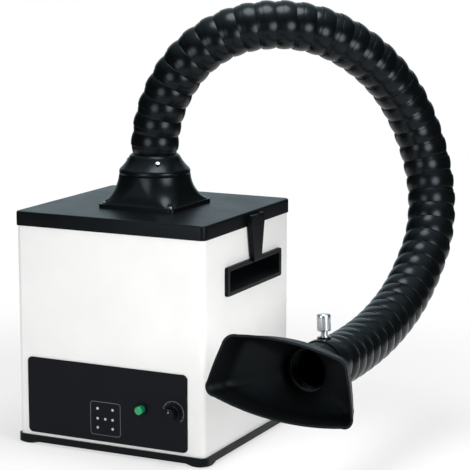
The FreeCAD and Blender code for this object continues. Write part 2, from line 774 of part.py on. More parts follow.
def lock_knob():
    """The polished lock screw: a fluted knob with a rounded crown, and a stem down to the hood's spigot."""
    base = LOCK_BUSH_TOP + 0.5
    top = base + LOCK_KNOB_HEIGHT
    radius = LOCK_KNOB_RADIUS
    tip = SPIGOT_RADIUS + 0.5
    stem = LOCK_STEM_RADIUS
    knob = outline(flat, (0, tip), (stem, tip), (stem, base), (radius - 1.2, base), (radius, base + 1.2),
                   (radius, top - 3), ((radius - 0.9, top - 0.9), (radius - 3, top)), (0, top + 0.6))
    knob = knob.revolve(Vector(0, 0, 0), Vector(0, 1, 0), 360)
    knob.translate(Vector(0, 0, LOCK_AT))
    flutes = []
    count = 28
    for index in range(count):
        angle = 2 * pi * index / count
        x = (radius + 0.35) * cos(angle)
        z = LOCK_AT + (radius + 0.35) * sin(angle)
        flutes.append(front_rod(0.75, x, z, base + 3, top - 5))
    return cut(knob, flutes)


def mouth_points(inset):
    """Four corners and four bulged sides of the hood's mouth, each as three points of an arc."""
    top = MOUTH_TOP_HALF - inset
    bottom = MOUTH_BOTTOM_HALF - inset
    half = MOUTH_HALF_HEIGHT - inset
    corners = [flat(-bottom, -half), flat(bottom, -half), flat(top, half), flat(-top, half)]
    bulges = [MOUTH_BOTTOM_BULGE, MOUTH_SIDE_BULGE, MOUTH_TOP_BULGE, MOUTH_SIDE_BULGE]
    run = MOUTH_CORNER - inset
    sides = [bulged_side(corners[i], corners[(i + 1) % 4], bulges[i], run) for i in range(4)]
    arcs = []
    for index, side in enumerate(sides):
        before = sides[index - 1][2]
        chord = (before + side[0]) * 0.5
        arcs.append((before, chord + (corners[index] - chord) * MOUTH_CORNER_PULL, side[0]))
        arcs.append(side)
    return arcs


def bulged_side(start, end, bulge, run):
    """Three points of a side that swells by the bulge at its middle, short of both corners by the run."""
    along = end - start
    out = Vector(along.y, -along.x, 0).normalize()
    first = run / along.Length
    points = []
    for share in (first, 0.5, 1 - first):
        points.append(start + along * share + out * (4 * share * (1 - share) * bulge))
    return points


def hood_section(share, radius, z, inset):
    """A section of the hood between a circle and the mouth's outline."""
    def blend(point):
        angle = atan2(point.y, point.x)
        return (radius * cos(angle) * (1 - share) + point.x * share,
                radius * sin(angle) * (1 - share) + point.y * share)

    def level(a, b):
        return Vector(a, b, z)

    return Part.Wire([arc(level, [blend(point) for point in points]) for points in mouth_points(inset)])


def open_share(place):
    """How far the hood has opened from its round inlet to its mouth, at a place from 0 to 1 along it."""
    swell = min(1.0, max(0.0, (place - FLARE_START) / (FLARE_END - FLARE_START)))
    rim = max(0.0, (place - FLARE_END) / (1 - FLARE_END))
    return FLARE_SHARE * swell * swell * (3 - 2 * swell) + (1 - FLARE_SHARE) * rim


def hood_loft(start, radius, inset, beyond):
    """A solid that opens from a circle to the mouth."""
    wires = []
    for step in range(HOOD_SECTIONS + 1):
        place = step / HOOD_SECTIONS
        z = start + (HOOD_MOUTH - start) * place
        wires.append(hood_section(open_share(place), radius, z, inset))
    if beyond:
        wires.append(hood_section(1.0, radius, HOOD_MOUTH + beyond, inset))
    return Part.makeLoft(wires, True, False)


def hood_spigot():
    """The sleeve that turns in the neck and is let into the hood."""
    end = NECK_END + GAP + SPIGOT_SEAT
    sleeve = post(SPIGOT_RADIUS, 0, 0, SPIGOT_START, end)
    return sleeve.cut(post(HOOD_THROAT, 0, 0, SPIGOT_START - 1, end + 1))


def nozzle_hood():
    """The hood: a round inlet on the sleeve, then walls that open to a wide mouth."""
    begin = NECK_END + GAP
    outer = hood_loft(begin, HOOD_RADIUS, 0.0, 0.0)
    inner = hood_loft(begin + HOOD_WALL, HOOD_RADIUS - HOOD_WALL, HOOD_WALL, 2.0)
    seat = post(SPIGOT_RADIUS + 0.02, 0, 0, begin - 1, begin + SPIGOT_SEAT)
    return cut(outer, [inner, seat])


# Controls


def lens_points():
    """Places of the indicator lenses on the fascia."""
    return [(x, z) for row, z in enumerate(LENS_ROWS) for column, x in enumerate(LENS_COLUMNS)
            if (column, row) not in LENS_MISSING]


def fascia():
    """The black control panel, with holes for the button, the knob's spindle and the lenses."""
    plate = front_plate(FASCIA_LEFT, FASCIA_RIGHT, FASCIA_BOTTOM, FASCIA_TOP, FASCIA_CORNER,
                        FASCIA_FACE, FRONT)
    button = front_rod(BARREL_RADIUS + 0.1, BUTTON_X, BUTTON_Z, FRONT - 9, FRONT + 1)
    spindle = front_rod(4, KNOB_X, KNOB_Z, FRONT - 9, FRONT + 1)
    lenses = [front_rod(LENS_RADIUS + 0.05, x, z, FRONT - 9, FRONT + 1) for x, z in lens_points()]
    return cut(plate, [button, spindle] + lenses)


def indicator_lenses():
    """Small clear domes over the indicator lamps."""
    lenses = []
    for x, z in lens_points():
        stem = front_rod(LENS_RADIUS, x, z, FASCIA_FACE, FRONT + 4)
        radius = 3.0
        rise = 0.8
        ball = Part.makeSphere(radius, Vector(x, FASCIA_FACE - rise + radius, z))
        dome = ball.common(front_rod(LENS_RADIUS - 0.1, x, z, FASCIA_FACE - 2, FASCIA_FACE))
        lenses.append(stem.fuse(dome).removeSplitter())
    return Part.makeCompound(lenses)


def button_bezel():
    """The button's ring and threaded barrel."""
    bore = BUTTON_RADIUS + GAP
    face = FASCIA_FACE
    edge = BEZEL_RADIUS
    rim = turned((bore, 0), (edge, 0), (edge, 1.6), ((edge - 0.4, 2.5), (edge - 1.6, 2.8)),
                 (bore + 0.8, 2.8), (bore, 2.2))
    stand = Placement(Vector(BUTTON_X, face, BUTTON_Z), OUT_OF_FRONT)
    barrel = front_rod(BARREL_RADIUS, BUTTON_X, BUTTON_Z, face, BARREL_END)
    barrel = barrel.cut(front_rod(bore, BUTTON_X, BUTTON_Z, face, BARREL_END))
    return placed(rim, stand).fuse(barrel).removeSplitter()


def push_button():
    """The green cap and its stem."""
    radius = BUTTON_RADIUS
    height = BUTTON_PROUD + BUTTON_STEM
    cap = turned((0, 0), (radius, 0), (radius, height - 2),
                 ((radius - 0.6, height - 0.6), (radius - 2, height)), (0, height))
    return placed(cap, Placement(Vector(BUTTON_X, FASCIA_FACE + BUTTON_STEM, BUTTON_Z), OUT_OF_FRONT))


def switch_body():
    """The switch behind the button."""
    return box(BUTTON_X - 11, BUTTON_X + 11, BARREL_END, BARREL_END + 20, BUTTON_Z - 11, BUTTON_Z + 11)


def knob_frame():
    """The knob's frame: its Z runs out of the fascia."""
    return Placement(Vector(KNOB_X, FASCIA_FACE - 0.6, KNOB_Z), OUT_OF_FRONT)


def speed_knob():
    """The speed knob: a skirt, a fluted grip and a dished top, with a groove for the pointer mark."""
    radius = KNOB_RADIUS
    skirt = KNOB_SKIRT_RADIUS
    top = KNOB_HEIGHT
    body = turned((0, 0), (skirt, 0), (skirt, 2.2), (skirt - 0.8, 3), (radius, 3.4),
                  (radius - 0.8, top - 1.5), (radius - 2, top), (0, top - 0.7))
    count = 18
    flutes = []
    for index in range(count):
        angle = 2 * pi * index / count
        x = (radius + 0.6) * cos(angle)
        y = (radius + 0.6) * sin(angle)
        flutes.append(rod(1.1, Vector(x, y, 4.4), Vector(x * 0.94, y * 0.94, KNOB_HEIGHT + 1)))
    bore = rod(SPINDLE_RADIUS + 0.02, Vector(0, 0, -1), Vector(0, 0, 11))
    return placed(cut(body, flutes + [bore, pointer_block()]), knob_frame())


def pointer_block():
    """The pointer mark's bar in the knob's frame."""
    return box(-0.6, 0.6, 3.5, KNOB_RADIUS - 1.5, KNOB_HEIGHT - 1.4, KNOB_HEIGHT - 0.2)


def knob_pointer():
    """The white mark let into the knob's top."""
    return placed(pointer_block(), knob_frame())


def knob_spindle():
    """The potentiometer's spindle, which turns with the knob."""
    frame = knob_frame()
    return placed(rod(SPINDLE_RADIUS, Vector(0, 0, -24), Vector(0, 0, 10.8)), frame)


def potentiometer():
    """The potentiometer behind the fascia, with its threaded bush."""
    frame = knob_frame()
    body = rod(12, Vector(0, 0, -26), Vector(0, 0, -14))
    bush = rod(3.9, Vector(0, 0, -14), Vector(0, 0, -1.2))
    hole = rod(SPINDLE_RADIUS + 0.06, Vector(0, 0, -24.1), Vector(0, 0, 0))
    return placed(body.fuse(bush).removeSplitter().cut(hole), frame)


def board_corners():
    """Places of the control board's four spacers."""
    return [(x, z) for x in (-62, 32) for z in (34, 86)]


def control_board():
    """The circuit board behind the lenses, with a relay and a heat sink on it."""
    y = FRONT + 16
    board = box(-68, 38, y, y + 1.6, 28, 92)
    relay = box(-60, -40, y + 1.6, y + 18, 50, 66)
    sink = box(0, 30, y + 1.6, y + 22, 40, 60)
    holes = [rod(1.7, Vector(x, y - 1, z), Vector(x, y + 3, z)) for x, z in board_corners()]
    return cut(fuse([board, relay, sink]), holes)


def board_spacers():
    """Spacers that hold the board off the front wall."""
    y = FRONT + WALL
    return Part.makeCompound([rod(3, Vector(x, y, z), Vector(x, FRONT + 16, z)) for x, z in board_corners()])


def power_supply():
    """The power supply block on the base, behind the inlet."""
    floor = BASE_UNDERSIDE + BASE_FLOOR
    return box(-150, -78, 20, 122, floor, floor + 34)


# Fan and filters


def fan_deck():
    """The plate that the filters stand on, with the fan's inlet hole."""
    room = 2 * WALL + 1
    plate = slab(CABINET_WIDTH - room, CABINET_DEPTH - room, 5, DECK_Z, DECK_Z + DECK_THICKNESS)
    return plate.cut(post(FAN_EYE + 2.2, 0, 0, DECK_Z - 1, DECK_Z + 9))


def inlet_ring():
    """The curved ring that leads air from the deck into the impeller."""
    top = DECK_Z
    return turned((FAN_EYE - 4, top - 16), ((FAN_EYE - 3, top - 6), (FAN_EYE + 2, top + DECK_THICKNESS)),
                  (FAN_EYE + 2, top), (FAN_EYE + 8, top), (FAN_EYE + 8, top - 2), (FAN_EYE + 2, top - 2),
                  ((FAN_EYE - 0.8, top - 8), (FAN_EYE - 1.5, top - 16)))


def impeller():
    """The impeller: a back plate with a hub, curved blades and a front ring."""
    z = FAN_BACK_Z
    top = z + FAN_BLADE_HEIGHT
    plate = post(FAN_RADIUS, 0, 0, z, z + 2.5)
    hub = post(16, 0, 0, z, z + 22)
    front = post(FAN_RADIUS, 0, 0, top - 2.5, top).cut(post(FAN_EYE + 2, 0, 0, z, top + 1))
    blades = []
    for index in range(FAN_BLADES):
        sweep = outline(flat, (FAN_EYE, 0), ((FAN_EYE + 16, 15), (FAN_RADIUS - 4, 20)),
                        (FAN_RADIUS - 5, 22.5), ((FAN_EYE + 15, 17.6), (FAN_EYE - 1.5, 2.2)))
        blade = sweep.extrude(Vector(0, 0, FAN_BLADE_HEIGHT - 2))
        turn = Rotation(Vector(0, 0, 1), 360.0 * index / FAN_BLADES)
        blades.append(placed(blade, Placement(Vector(0, 0, z + 1), turn)))
    bore = post(SHAFT_RADIUS + 0.02, 0, 0, z - 1, z + 20)
    return fuse([plate, hub, front] + blades).cut(bore)


def motor_shaft():
    """The shaft from the motor up into the impeller's hub."""
    return post(SHAFT_RADIUS, 0, 0, MOTOR_BOTTOM + 6, FAN_BACK_Z + 19.8)


def fan_motor():
    """The motor's casing."""
    body = post(MOTOR_RADIUS, 0, 0, MOTOR_BOTTOM, MOTOR_TOP)
    nose = post(14, 0, 0, MOTOR_TOP, MOTOR_TOP + 8)
    bore = post(SHAFT_RADIUS + 0.06, 0, 0, MOTOR_BOTTOM + 5.8, MOTOR_TOP + 9)
    return body.fuse(nose).removeSplitter().cut(bore)


def motor_bracket():
    """The plate under the motor on four legs from the base."""
    floor = BASE_UNDERSIDE + BASE_FLOOR
    plate = slab(130, 130, 6, MOTOR_BOTTOM - 3, MOTOR_BOTTOM)
    reach = 56
    legs = [post(5, sx * reach, sy * reach, floor, MOTOR_BOTTOM - 3) for sx, sy in foot_corners()]
    return fuse([plate] + legs)


def scroll_housing():
    """The fan's housing: a round wall and floor, with a duct to the rear panel."""
    x0, x1, z0, z1 = scroll_outlet()
    skin = 2.5
    rear = REAR - 0.5
    outer = post(SCROLL_RADIUS, 0, 0, z0, z1 - skin)
    outer = outer.fuse(box(x0, x1, 0, rear, z0, z1 - skin)).removeSplitter()
    inner = post(SCROLL_RADIUS - skin, 0, 0, z0 + skin, z1)
    inner = inner.fuse(box(x0 + skin, x1 - skin, 0, rear + 1, z0 + skin, z1)).removeSplitter()
    motor_hole = post(18, 0, 0, z0 - 1, z0 + 9)
    floor = BASE_UNDERSIDE + BASE_FLOOR
    legs = [post(5, x, y, floor, z0 + 1) for x, y in scroll_posts()]
    return fuse([cut(outer, [inner, motor_hole])] + legs)


def scroll_posts():
    """Places of the posts that carry the scroll housing on the base."""
    reach = SCROLL_RADIUS - 8
    return [(reach * cos(radians(turn)), reach * sin(radians(turn))) for turn in (20, 110, 200, 290)]


def filter_floor():
    """Height of the cartridge's underside."""
    return DECK_Z + DECK_THICKNESS + SEAL_HEIGHT


def filter_ring(width, depth, wall, z0, z1):
    """A rectangular ring about the Z axis."""
    return slab(width, depth, 4, z0, z1).cut(slab(width - 2 * wall, depth - 2 * wall, 2, z0 - 1, z1 + 1))


def filter_seal():
    """The foam seal between the deck and the cartridge."""
    z = DECK_Z + DECK_THICKNESS
    return filter_ring(FILTER_WIDTH, FILTER_DEPTH, 12, z, z + SEAL_HEIGHT)


def filter_frame():
    """The cartridge's frame."""
    z = filter_floor()
    walls = filter_ring(FILTER_WIDTH, FILTER_DEPTH, FILTER_WALL, z, z + CARTRIDGE_HEIGHT)
    ledge = filter_ring(FILTER_WIDTH - 2, FILTER_DEPTH - 2, FILTER_WALL + 7, z, z + 3)
    return fuse([walls, ledge])


def carbon_bed():
    """The carbon block in the bottom of the cartridge."""
    z = filter_floor() + 3
    room = 2 * FILTER_WALL + 0.6
    return slab(FILTER_WIDTH - room, FILTER_DEPTH - room, 2, z, z + CARBON_HEIGHT)


def filter_pleats():
    """The pleated pack over the carbon: one folded sheet."""
    low = filter_floor() + 3 + CARBON_HEIGHT + 0.5
    high = filter_floor() + CARTRIDGE_HEIGHT - 1
    width = FILTER_WIDTH - 2 * FILTER_WALL - 1
    depth = FILTER_DEPTH - 2 * FILTER_WALL - 1
    sheet = 1.6
    step = width / (2 * PLEATS)
    thick = 3 * sheet
    heights = (low, high - thick)
    bottom = [(-width / 2 + index * step, heights[index % 2]) for index in range(2 * PLEATS + 1)]
    top = [(x, z + thick) for x, z in reversed(bottom)]
    points = [Vector(x, -depth / 2, z) for x, z in bottom + top]
    return Part.Face(Part.makePolygon(points + points[:1])).extrude(Vector(0, depth, 0))


def prefilter_mat():
    """The loose pre-filter mat on the cartridge."""
    z = filter_floor() + CARTRIDGE_HEIGHT
    return slab(FILTER_WIDTH - 4, FILTER_DEPTH - 4, 5, z, z + PREFILTER_HEIGHT)


def parts():
    """Every node and its shape."""
    neck = nozzle_place(NECK_ROLL)
    hood = nozzle_place(HOOD_ROLL)
    nodes = {
        "base_tray": base_tray(),
        "foot_pads": foot_pads(),
        "cabinet_shell": cabinet_shell(),
        "rear_panel": rear_panel(),
        "rear_panel_screws": rear_panel_screws(),
        "power_inlet": power_inlet(),
        "inlet_pins": inlet_pins(),
        "inlet_screws": inlet_screws(),
        "grip_cup_right": grip_cup(),
        "grip_cup_left": mirrored(grip_cup()),
        "latch_strap_right": latch_strap(),
        "latch_strap_left": mirrored(latch_strap()),
        "latch_pins": Part.makeCompound([latch_pin(), mirrored(latch_pin())]),
        "lid": lid(),
        "lid_gasket": lid_gasket(),
        "arm_boot": arm_boot(),
        "flange_screws": flange_screws(),
        "arm_collar": arm_collar(),
        "collar_screws": collar_screws(),
        "nozzle_neck": placed(nozzle_neck(), neck),
        "clamp_cuff": placed(clamp_cuff(), neck),
        "nozzle_hood": placed(nozzle_hood(), hood),
        "hood_spigot": placed(hood_spigot(), hood),
        "lock_bush": placed(lock_bush(), neck),
        "lock_knob": placed(lock_knob(), neck),
        "fascia": fascia(),
        "indicator_lenses": indicator_lenses(),
        "button_bezel": button_bezel(),
        "push_button": push_button(),
        "switch_body": switch_body(),
        "speed_knob": speed_knob(),
        "knob_pointer": knob_pointer(),
        "knob_spindle": knob_spindle(),
        "potentiometer": potentiometer(),
        "control_board": control_board(),
        "board_spacers": board_spacers(),
        "power_supply": power_supply(),
        "fan_deck": fan_deck(),
        "inlet_ring": inlet_ring(),
        "impeller": impeller(),
        "motor_shaft": motor_shaft(),
        "fan_motor": fan_motor(),
        "motor_bracket": motor_bracket(),
        "scroll_housing": scroll_housing(),
        "filter_seal": filter_seal(),
        "filter_frame": filter_frame(),
        "carbon_bed": carbon_bed(),
        "filter_pleats": filter_pleats(),
        "prefilter_mat": prefilter_mat(),
    }
    nodes.update(arm_sections())
    return nodes


def main():
    """Build every piece and write it to its own file."""
    os.makedirs("parts", exist_ok=True)
    for node, shape in parts().items():
        if not shape.isValid():
            raise ValueError(node + " is not a valid shape")
        shape.exportStep(os.path.join("parts", node + ".step"))
        print(node, len(shape.Solids), "solids", round(shape.Volume / 1000, 1), "cm3")


if __name__ == "__main__":
    main()
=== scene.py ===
"""Looks of the fume extractor: finishes, ring-jointed arm, printed control panel and a pale studio."""
import json
import logging
import math
from dataclasses import dataclass
from enum import Enum
from typing import Optional, Sequence

import bmesh
import bpy
from mathutils import Matrix, Quaternion, Vector


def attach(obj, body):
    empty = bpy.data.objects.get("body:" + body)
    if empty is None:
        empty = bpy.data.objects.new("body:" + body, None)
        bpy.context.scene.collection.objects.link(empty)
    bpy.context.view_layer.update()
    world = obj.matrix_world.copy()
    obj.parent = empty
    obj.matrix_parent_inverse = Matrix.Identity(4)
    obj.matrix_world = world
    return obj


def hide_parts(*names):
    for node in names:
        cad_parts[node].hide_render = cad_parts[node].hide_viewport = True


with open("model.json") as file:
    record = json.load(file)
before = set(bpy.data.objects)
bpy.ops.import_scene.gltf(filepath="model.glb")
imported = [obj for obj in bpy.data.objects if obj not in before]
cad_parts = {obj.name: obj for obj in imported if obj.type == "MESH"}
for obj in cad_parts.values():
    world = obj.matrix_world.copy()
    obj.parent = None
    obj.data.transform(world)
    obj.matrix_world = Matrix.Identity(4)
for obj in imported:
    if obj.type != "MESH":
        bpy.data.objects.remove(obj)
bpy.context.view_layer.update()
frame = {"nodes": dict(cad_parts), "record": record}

LOG = logging.getLogger("fume_extractor")
MM = 0.001
# Points this near become one, and faces this flat to each other become one.
MERGE_MM = 0.002
FLAT_DEG = 0.4
# Edges of turned shapes past this angle stay crisp.
ROUND_CREASE_DEG = 35.0
# An edge is rounded only this much past the angle at which it is crisp.
BEVEL_MARGIN_DEG = 8.0
Point = tuple[float, float]
Place = tuple[float, float, float]
BODIES = frame["record"]["behaviour"]["bodies"]
BODY_OF = {node: body for body, nodes in BODIES.items() for node in nodes}


def linear(colour: str) -> tuple[float, float, float, float]:
    """Turn an sRGB hex colour into linear light.

    Args:
        colour: Six hex digits after a hash sign.

    Returns:
        Red, green, blue and an alpha of one.
    """
    parts = [int(colour[i:i + 2], 16) / 255 for i in (1, 3, 5)]
    light = [p / 12.92 if p <= 0.04045 else ((p + 0.055) / 1.055) ** 2.4 for p in parts]
    return (*light, 1.0)


def add_node(tree: bpy.types.NodeTree, kind: str, values: Optional[dict] = None,
             links: Optional[dict] = None, **settings: object) -> bpy.types.Node:
    """Add a node with its settings, socket values and incoming links.

    Args:
        tree: The node tree that gets it.
        kind: Blender's name of the node type.
        values: Socket name or number to its fixed value.
        links: Socket name or number to the output socket that feeds it.
        **settings: Properties of the node itself.

    Returns:
        The new node.
    """
    node = tree.nodes.new(kind)
    for key, value in settings.items():
        setattr(node, key, value)
    for key, value in (values or {}).items():
        node.inputs[key].default_value = value
    for key, source in (links or {}).items():
        tree.links.new(source, node.inputs[key])
    return node


class Grain(Enum):
    """How a surface was made, which sets the pattern of its fine relief."""

    MOULDED = "fine spark texture from a mould"
    ORANGE_PEEL = "soft dimples of baked powder paint"
    BRUSHED = "lines of an abrasive belt"
    FIBRE = "matted fibres or open foam"


@dataclass(frozen=True)
class Finish:
    """A real material with its colour, gloss and relief.

    Attributes:
        name: The material's common name and how it was made.
        tint: Its main colour.
        shade: The colour that it drifts to over a broad scale.
        roughness: Middle roughness.
        spread: How far the roughness drifts to each side.
        grain: The kind of fine relief.
        grain_mm: Spacing of that relief, drawn coarser than the real one where that is too fine to show.
        relief_mm: Height of that relief.
        metallic: One for a bare metal.
        specular: Strength of the surface reflection; a half is an IOR of 1.5.
        coat: Weight of a clear gloss layer.
        sheen: Colour of the surface reflection.
        broad_mm: Spacing of the slow drift in colour and gloss.
        streak: Rate at which brushed relief changes along its lines, against across them.
        colour_drift: Levels of the drift between which the colour changes.
        gloss_drift: Levels of the drift between which the gloss changes.
        coat_roughness: Roughness of the clear gloss layer.
        least_roughness: The glossiest that the drift may get.
    """

    name: str
    tint: str
    shade: str
    roughness: float
    spread: float
    grain: Grain
    grain_mm: float
    relief_mm: float
    metallic: float = 0.0
    specular: float = 0.5
    coat: float = 0.0
    sheen: str = "#ffffff"
    broad_mm: float = 60.0
    streak: float = 0.04
    colour_drift: Point = (0.3, 0.75)
    gloss_drift: Point = (0.25, 0.75)
    coat_roughness: float = 0.08
    least_roughness: float = 0.02

    def height(self, tree: bpy.types.NodeTree, place: bpy.types.NodeSocket) -> bpy.types.NodeSocket:
        """Add the nodes of the fine relief.

        Args:
            tree: The material's tree.
            place: Object coordinates in metres.

        Returns:
            The height, from zero to one.
        """
        scale = 1.0 / (self.grain_mm * MM)
        if self.grain is Grain.ORANGE_PEEL:
            cells = add_node(tree, "ShaderNodeTexVoronoi", {"Scale": scale, "Smoothness": 1.0},
                             {"Vector": place}, feature="SMOOTH_F1")
            return cells.outputs["Distance"]
        if self.grain is Grain.BRUSHED:
            stretched = add_node(tree, "ShaderNodeMapping", {"Scale": (1.0, 1.0, self.streak)},
                                 {"Vector": place})
            lines = add_node(tree, "ShaderNodeTexNoise", {"Scale": scale, "Detail": 3.0},
                             {"Vector": stretched.outputs["Vector"]})
            return lines.outputs["Fac"]
        detail = 8.0 if self.grain is Grain.FIBRE else 2.0
        noise = add_node(tree, "ShaderNodeTexNoise", {"Scale": scale, "Detail": detail},
                         {"Vector": place})
        return noise.outputs["Fac"]

    def colour(self, tree: bpy.types.NodeTree, broad: bpy.types.NodeSocket) -> bpy.types.NodeSocket:
        """Add the nodes of the slow drift in colour.

        Args:
            tree: The material's tree.
            broad: The drift, from zero to one.

        Returns:
            The colour.
        """
        ramp = add_node(tree, "ShaderNodeValToRGB", links={"Fac": broad})
        first, last = ramp.color_ramp.elements
        first.position, last.position = self.colour_drift
        first.color = linear(self.tint)
        last.color = linear(self.shade)
        return ramp.outputs["Color"]

    def gloss(self, tree: bpy.types.NodeTree, broad: bpy.types.NodeSocket) -> bpy.types.NodeSocket:
        """Add the nodes of the slow drift in gloss.

        Args:
            tree: The material's tree.
            broad: The drift, from zero to one.

        Returns:
            The roughness.
        """
        low, high = self.gloss_drift
        drift = add_node(tree, "ShaderNodeMapRange", {
            "From Min": low, "From Max": high,
            "To Min": max(self.roughness - self.spread, self.least_roughness),
            "To Max": self.roughness + self.spread,
        }, {"Value": broad})
        return drift.outputs["Result"]

    def material(self) -> bpy.types.Material:
        """Make this finish as a material, once.

        Returns:
            The material.
        """
        known = bpy.data.materials.get(self.name)
        if known:
            return known
        material = bpy.data.materials.new(self.name)
        material.use_nodes = True
        tree = material.node_tree
        tree.nodes.clear()
        place = add_node(tree, "ShaderNodeTexCoord").outputs["Object"]
        broad = add_node(tree, "ShaderNodeTexNoise", {"Scale": 1.0 / (self.broad_mm * MM), "Detail": 3.0},
                         {"Vector": place}).outputs["Fac"]
        bump = add_node(tree, "ShaderNodeBump", {"Strength": 1.0, "Distance": self.relief_mm * MM},
                        {"Height": self.height(tree, place)})
        shader = add_node(tree, "ShaderNodeBsdfPrincipled", {
            "Metallic": self.metallic, "Specular IOR Level": self.specular, "Coat Weight": self.coat,
            "Coat Roughness": self.coat_roughness, "Specular Tint": linear(self.sheen),
        }, {"Base Color": self.colour(tree, broad), "Roughness": self.gloss(tree, broad),
            "Normal": bump.outputs["Normal"]})
        add_node(tree, "ShaderNodeOutputMaterial", links={"Surface": shader.outputs["BSDF"]})
        return material


# Black plastic mirrors the studio in a slightly cool tone.
COOL = "#e4f3ff"
# Polypropylene rings come glossy from a polished mould: deep black with round cool highlights.
ARM_PLASTIC = Finish("polypropylene_gloss_black", "#060809", "#090b0c", 0.27, 0.03,
                     Grain.MOULDED, 1.4, 0.01, specular=0.21, sheen=COOL)
# The hood is the same plastic from a textured mould, so that its highlights spread.
HOOD_PLASTIC = Finish("polypropylene_satin_black", "#07090a", "#0b0d0e", 0.5, 0.03,
                      Grain.MOULDED, 1.2, 0.015, specular=0.19, sheen=COOL)
# The lid is ABS with a fine texture that turns the light from above into an even grey sheen.
LID_PLASTIC = Finish("abs_satin_black", "#06080a", "#090b0d", 0.36, 0.04,
                     Grain.MOULDED, 1.0, 0.02, specular=0.16, sheen=COOL)
# The boot and bell are ABS from a smoother mould, so their highlights are clearer than the lid's.
BOOT_PLASTIC = Finish("abs_smooth_black", "#07090a", "#0b0d0e", 0.3, 0.05,
                      Grain.MOULDED, 1.6, 0.015, specular=0.2, sheen=COOL)
# Trim is glass-filled nylon: black, a little dry.
TRIM_PLASTIC = Finish("nylon_textured_black", "#060709", "#090b0d", 0.4, 0.05,
                      Grain.MOULDED, 0.9, 0.03, specular=0.14, sheen=COOL)
# The cabinet is sheet steel with baked white powder paint, which has a faint orange-peel surface.
WHITE_POWDER = Finish("powder_paint_white", "#f2f2f1", "#eeeeed", 0.45, 0.05,
                      Grain.ORANGE_PEEL, 2.4, 0.02)
# The panel is a polyester overlay with a velvet face: dark slate, hardly any gloss.
PANEL_FILM = Finish("polyester_overlay_slate", "#0a0c12", "#0e1016", 0.55, 0.05,
                    Grain.MOULDED, 0.7, 0.015, specular=0.12)
# Screen ink stands flat and dim on the overlay.
GREY_INK = Finish("screen_ink_grey", "#85898e", "#7c8086", 0.6, 0.05,
                  Grain.MOULDED, 0.8, 0.005)
# The knob's pointer is filled with a paler paint, flat and without gloss.
PALE_INK = Finish("fill_paint_pale", "#c9ccd0", "#bfc3c8", 0.6, 0.05,
                  Grain.MOULDED, 0.8, 0.005)
# The button cap is dyed polycarbonate, bright and glossy.
GREEN_CAP = Finish("polycarbonate_green", "#0b9a62", "#098c58", 0.25, 0.05,
                   Grain.MOULDED, 1.5, 0.01, coat=0.4)
# Lamp domes are frosted acrylic: pale grey with a soft gloss.
LAMP_DOME = Finish("acrylic_frosted", "#c4c9c8", "#b8bebd", 0.3, 0.05,
                   Grain.MOULDED, 0.8, 0.01)
# The lock screw and its bush are turned steel with nickel plate: bright, with fine lines.
NICKEL = Finish("nickel_plated_steel", "#d4d7da", "#c6cace", 0.27, 0.05,
                Grain.BRUSHED, 0.6, 0.004, metallic=1.0)
# Screws, pins and shafts are zinc-plated steel: a grey metal with a dull shine.
STEEL = Finish("zinc_plated_steel", "#b4b8bc", "#9ea3a8", 0.34, 0.08,
               Grain.BRUSHED, 0.5, 0.006, metallic=1.0)
# The inlet's pins are tinned brass: pale and a little yellow.
BRASS = Finish("tinned_brass", "#cfc6a8", "#bfb493", 0.28, 0.06,
               Grain.BRUSHED, 0.5, 0.004, metallic=1.0)
# Fan deck, motor and covers are mill aluminium: light grey with rolling lines.
ALUMINIUM = Finish("mill_aluminium", "#c6c8ca", "#b2b5b8", 0.4, 0.08,
                   Grain.BRUSHED, 0.7, 0.008, metallic=1.0)
# Fan wheel and scroll are glass-filled plastic: mid grey and dry.
FAN_PLASTIC = Finish("glass_filled_grey", "#4b4e53", "#56595e", 0.5, 0.06,
                     Grain.MOULDED, 0.9, 0.03)
# Foot pads are moulded rubber: nearly black, without gloss.
RUBBER = Finish("moulded_rubber", "#141414", "#1b1b1b", 0.75, 0.05,
                Grain.MOULDED, 0.8, 0.03)
# Seals are open-cell foam: dark and pitted.
FOAM = Finish("open_cell_foam", "#2a2a2c", "#343436", 0.9, 0.03,
              Grain.FIBRE, 1.2, 0.3)
# The control board is glass-epoxy under green lacquer, which shines a little.
BOARD = Finish("glass_epoxy_board", "#1c5a30", "#22663a", 0.4, 0.06,
               Grain.FIBRE, 0.8, 0.01, coat=0.3)
# The filter's frame is brown card with loose fibres.
CARD = Finish("filter_card", "#b8a886", "#c4b594", 0.85, 0.05,
              Grain.FIBRE, 1.5, 0.05)
# The pleats are glass-fibre paper: off-white and quite matt.
PAPER = Finish("glass_fibre_paper", "#ecece6", "#f3f3ee", 0.9, 0.04,
               Grain.FIBRE, 0.9, 0.05)
# The carbon bed is pressed granules: black and rough.
CARBON = Finish("pressed_carbon", "#121212", "#1e1e1e", 0.85, 0.08,
                Grain.FIBRE, 2.0, 0.4)
# The first filter mat is polyester fleece: pale, soft and fuzzy.
FLEECE = Finish("polyester_fleece", "#d9dee4", "#e6eaee", 0.95, 0.03,
                Grain.FIBRE, 1.8, 0.5)


def dress(finish: Finish, *nodes: str) -> None:
    """Give CAD nodes that keep their own mesh a finish.

    Args:
        finish: The finish they get.
        *nodes: Names of the nodes.
    """
    for name in nodes:
        mesh = frame["nodes"][name].data
        mesh.materials.clear()
        mesh.materials.append(finish.material())
        LOG.info("dressed %s", name)


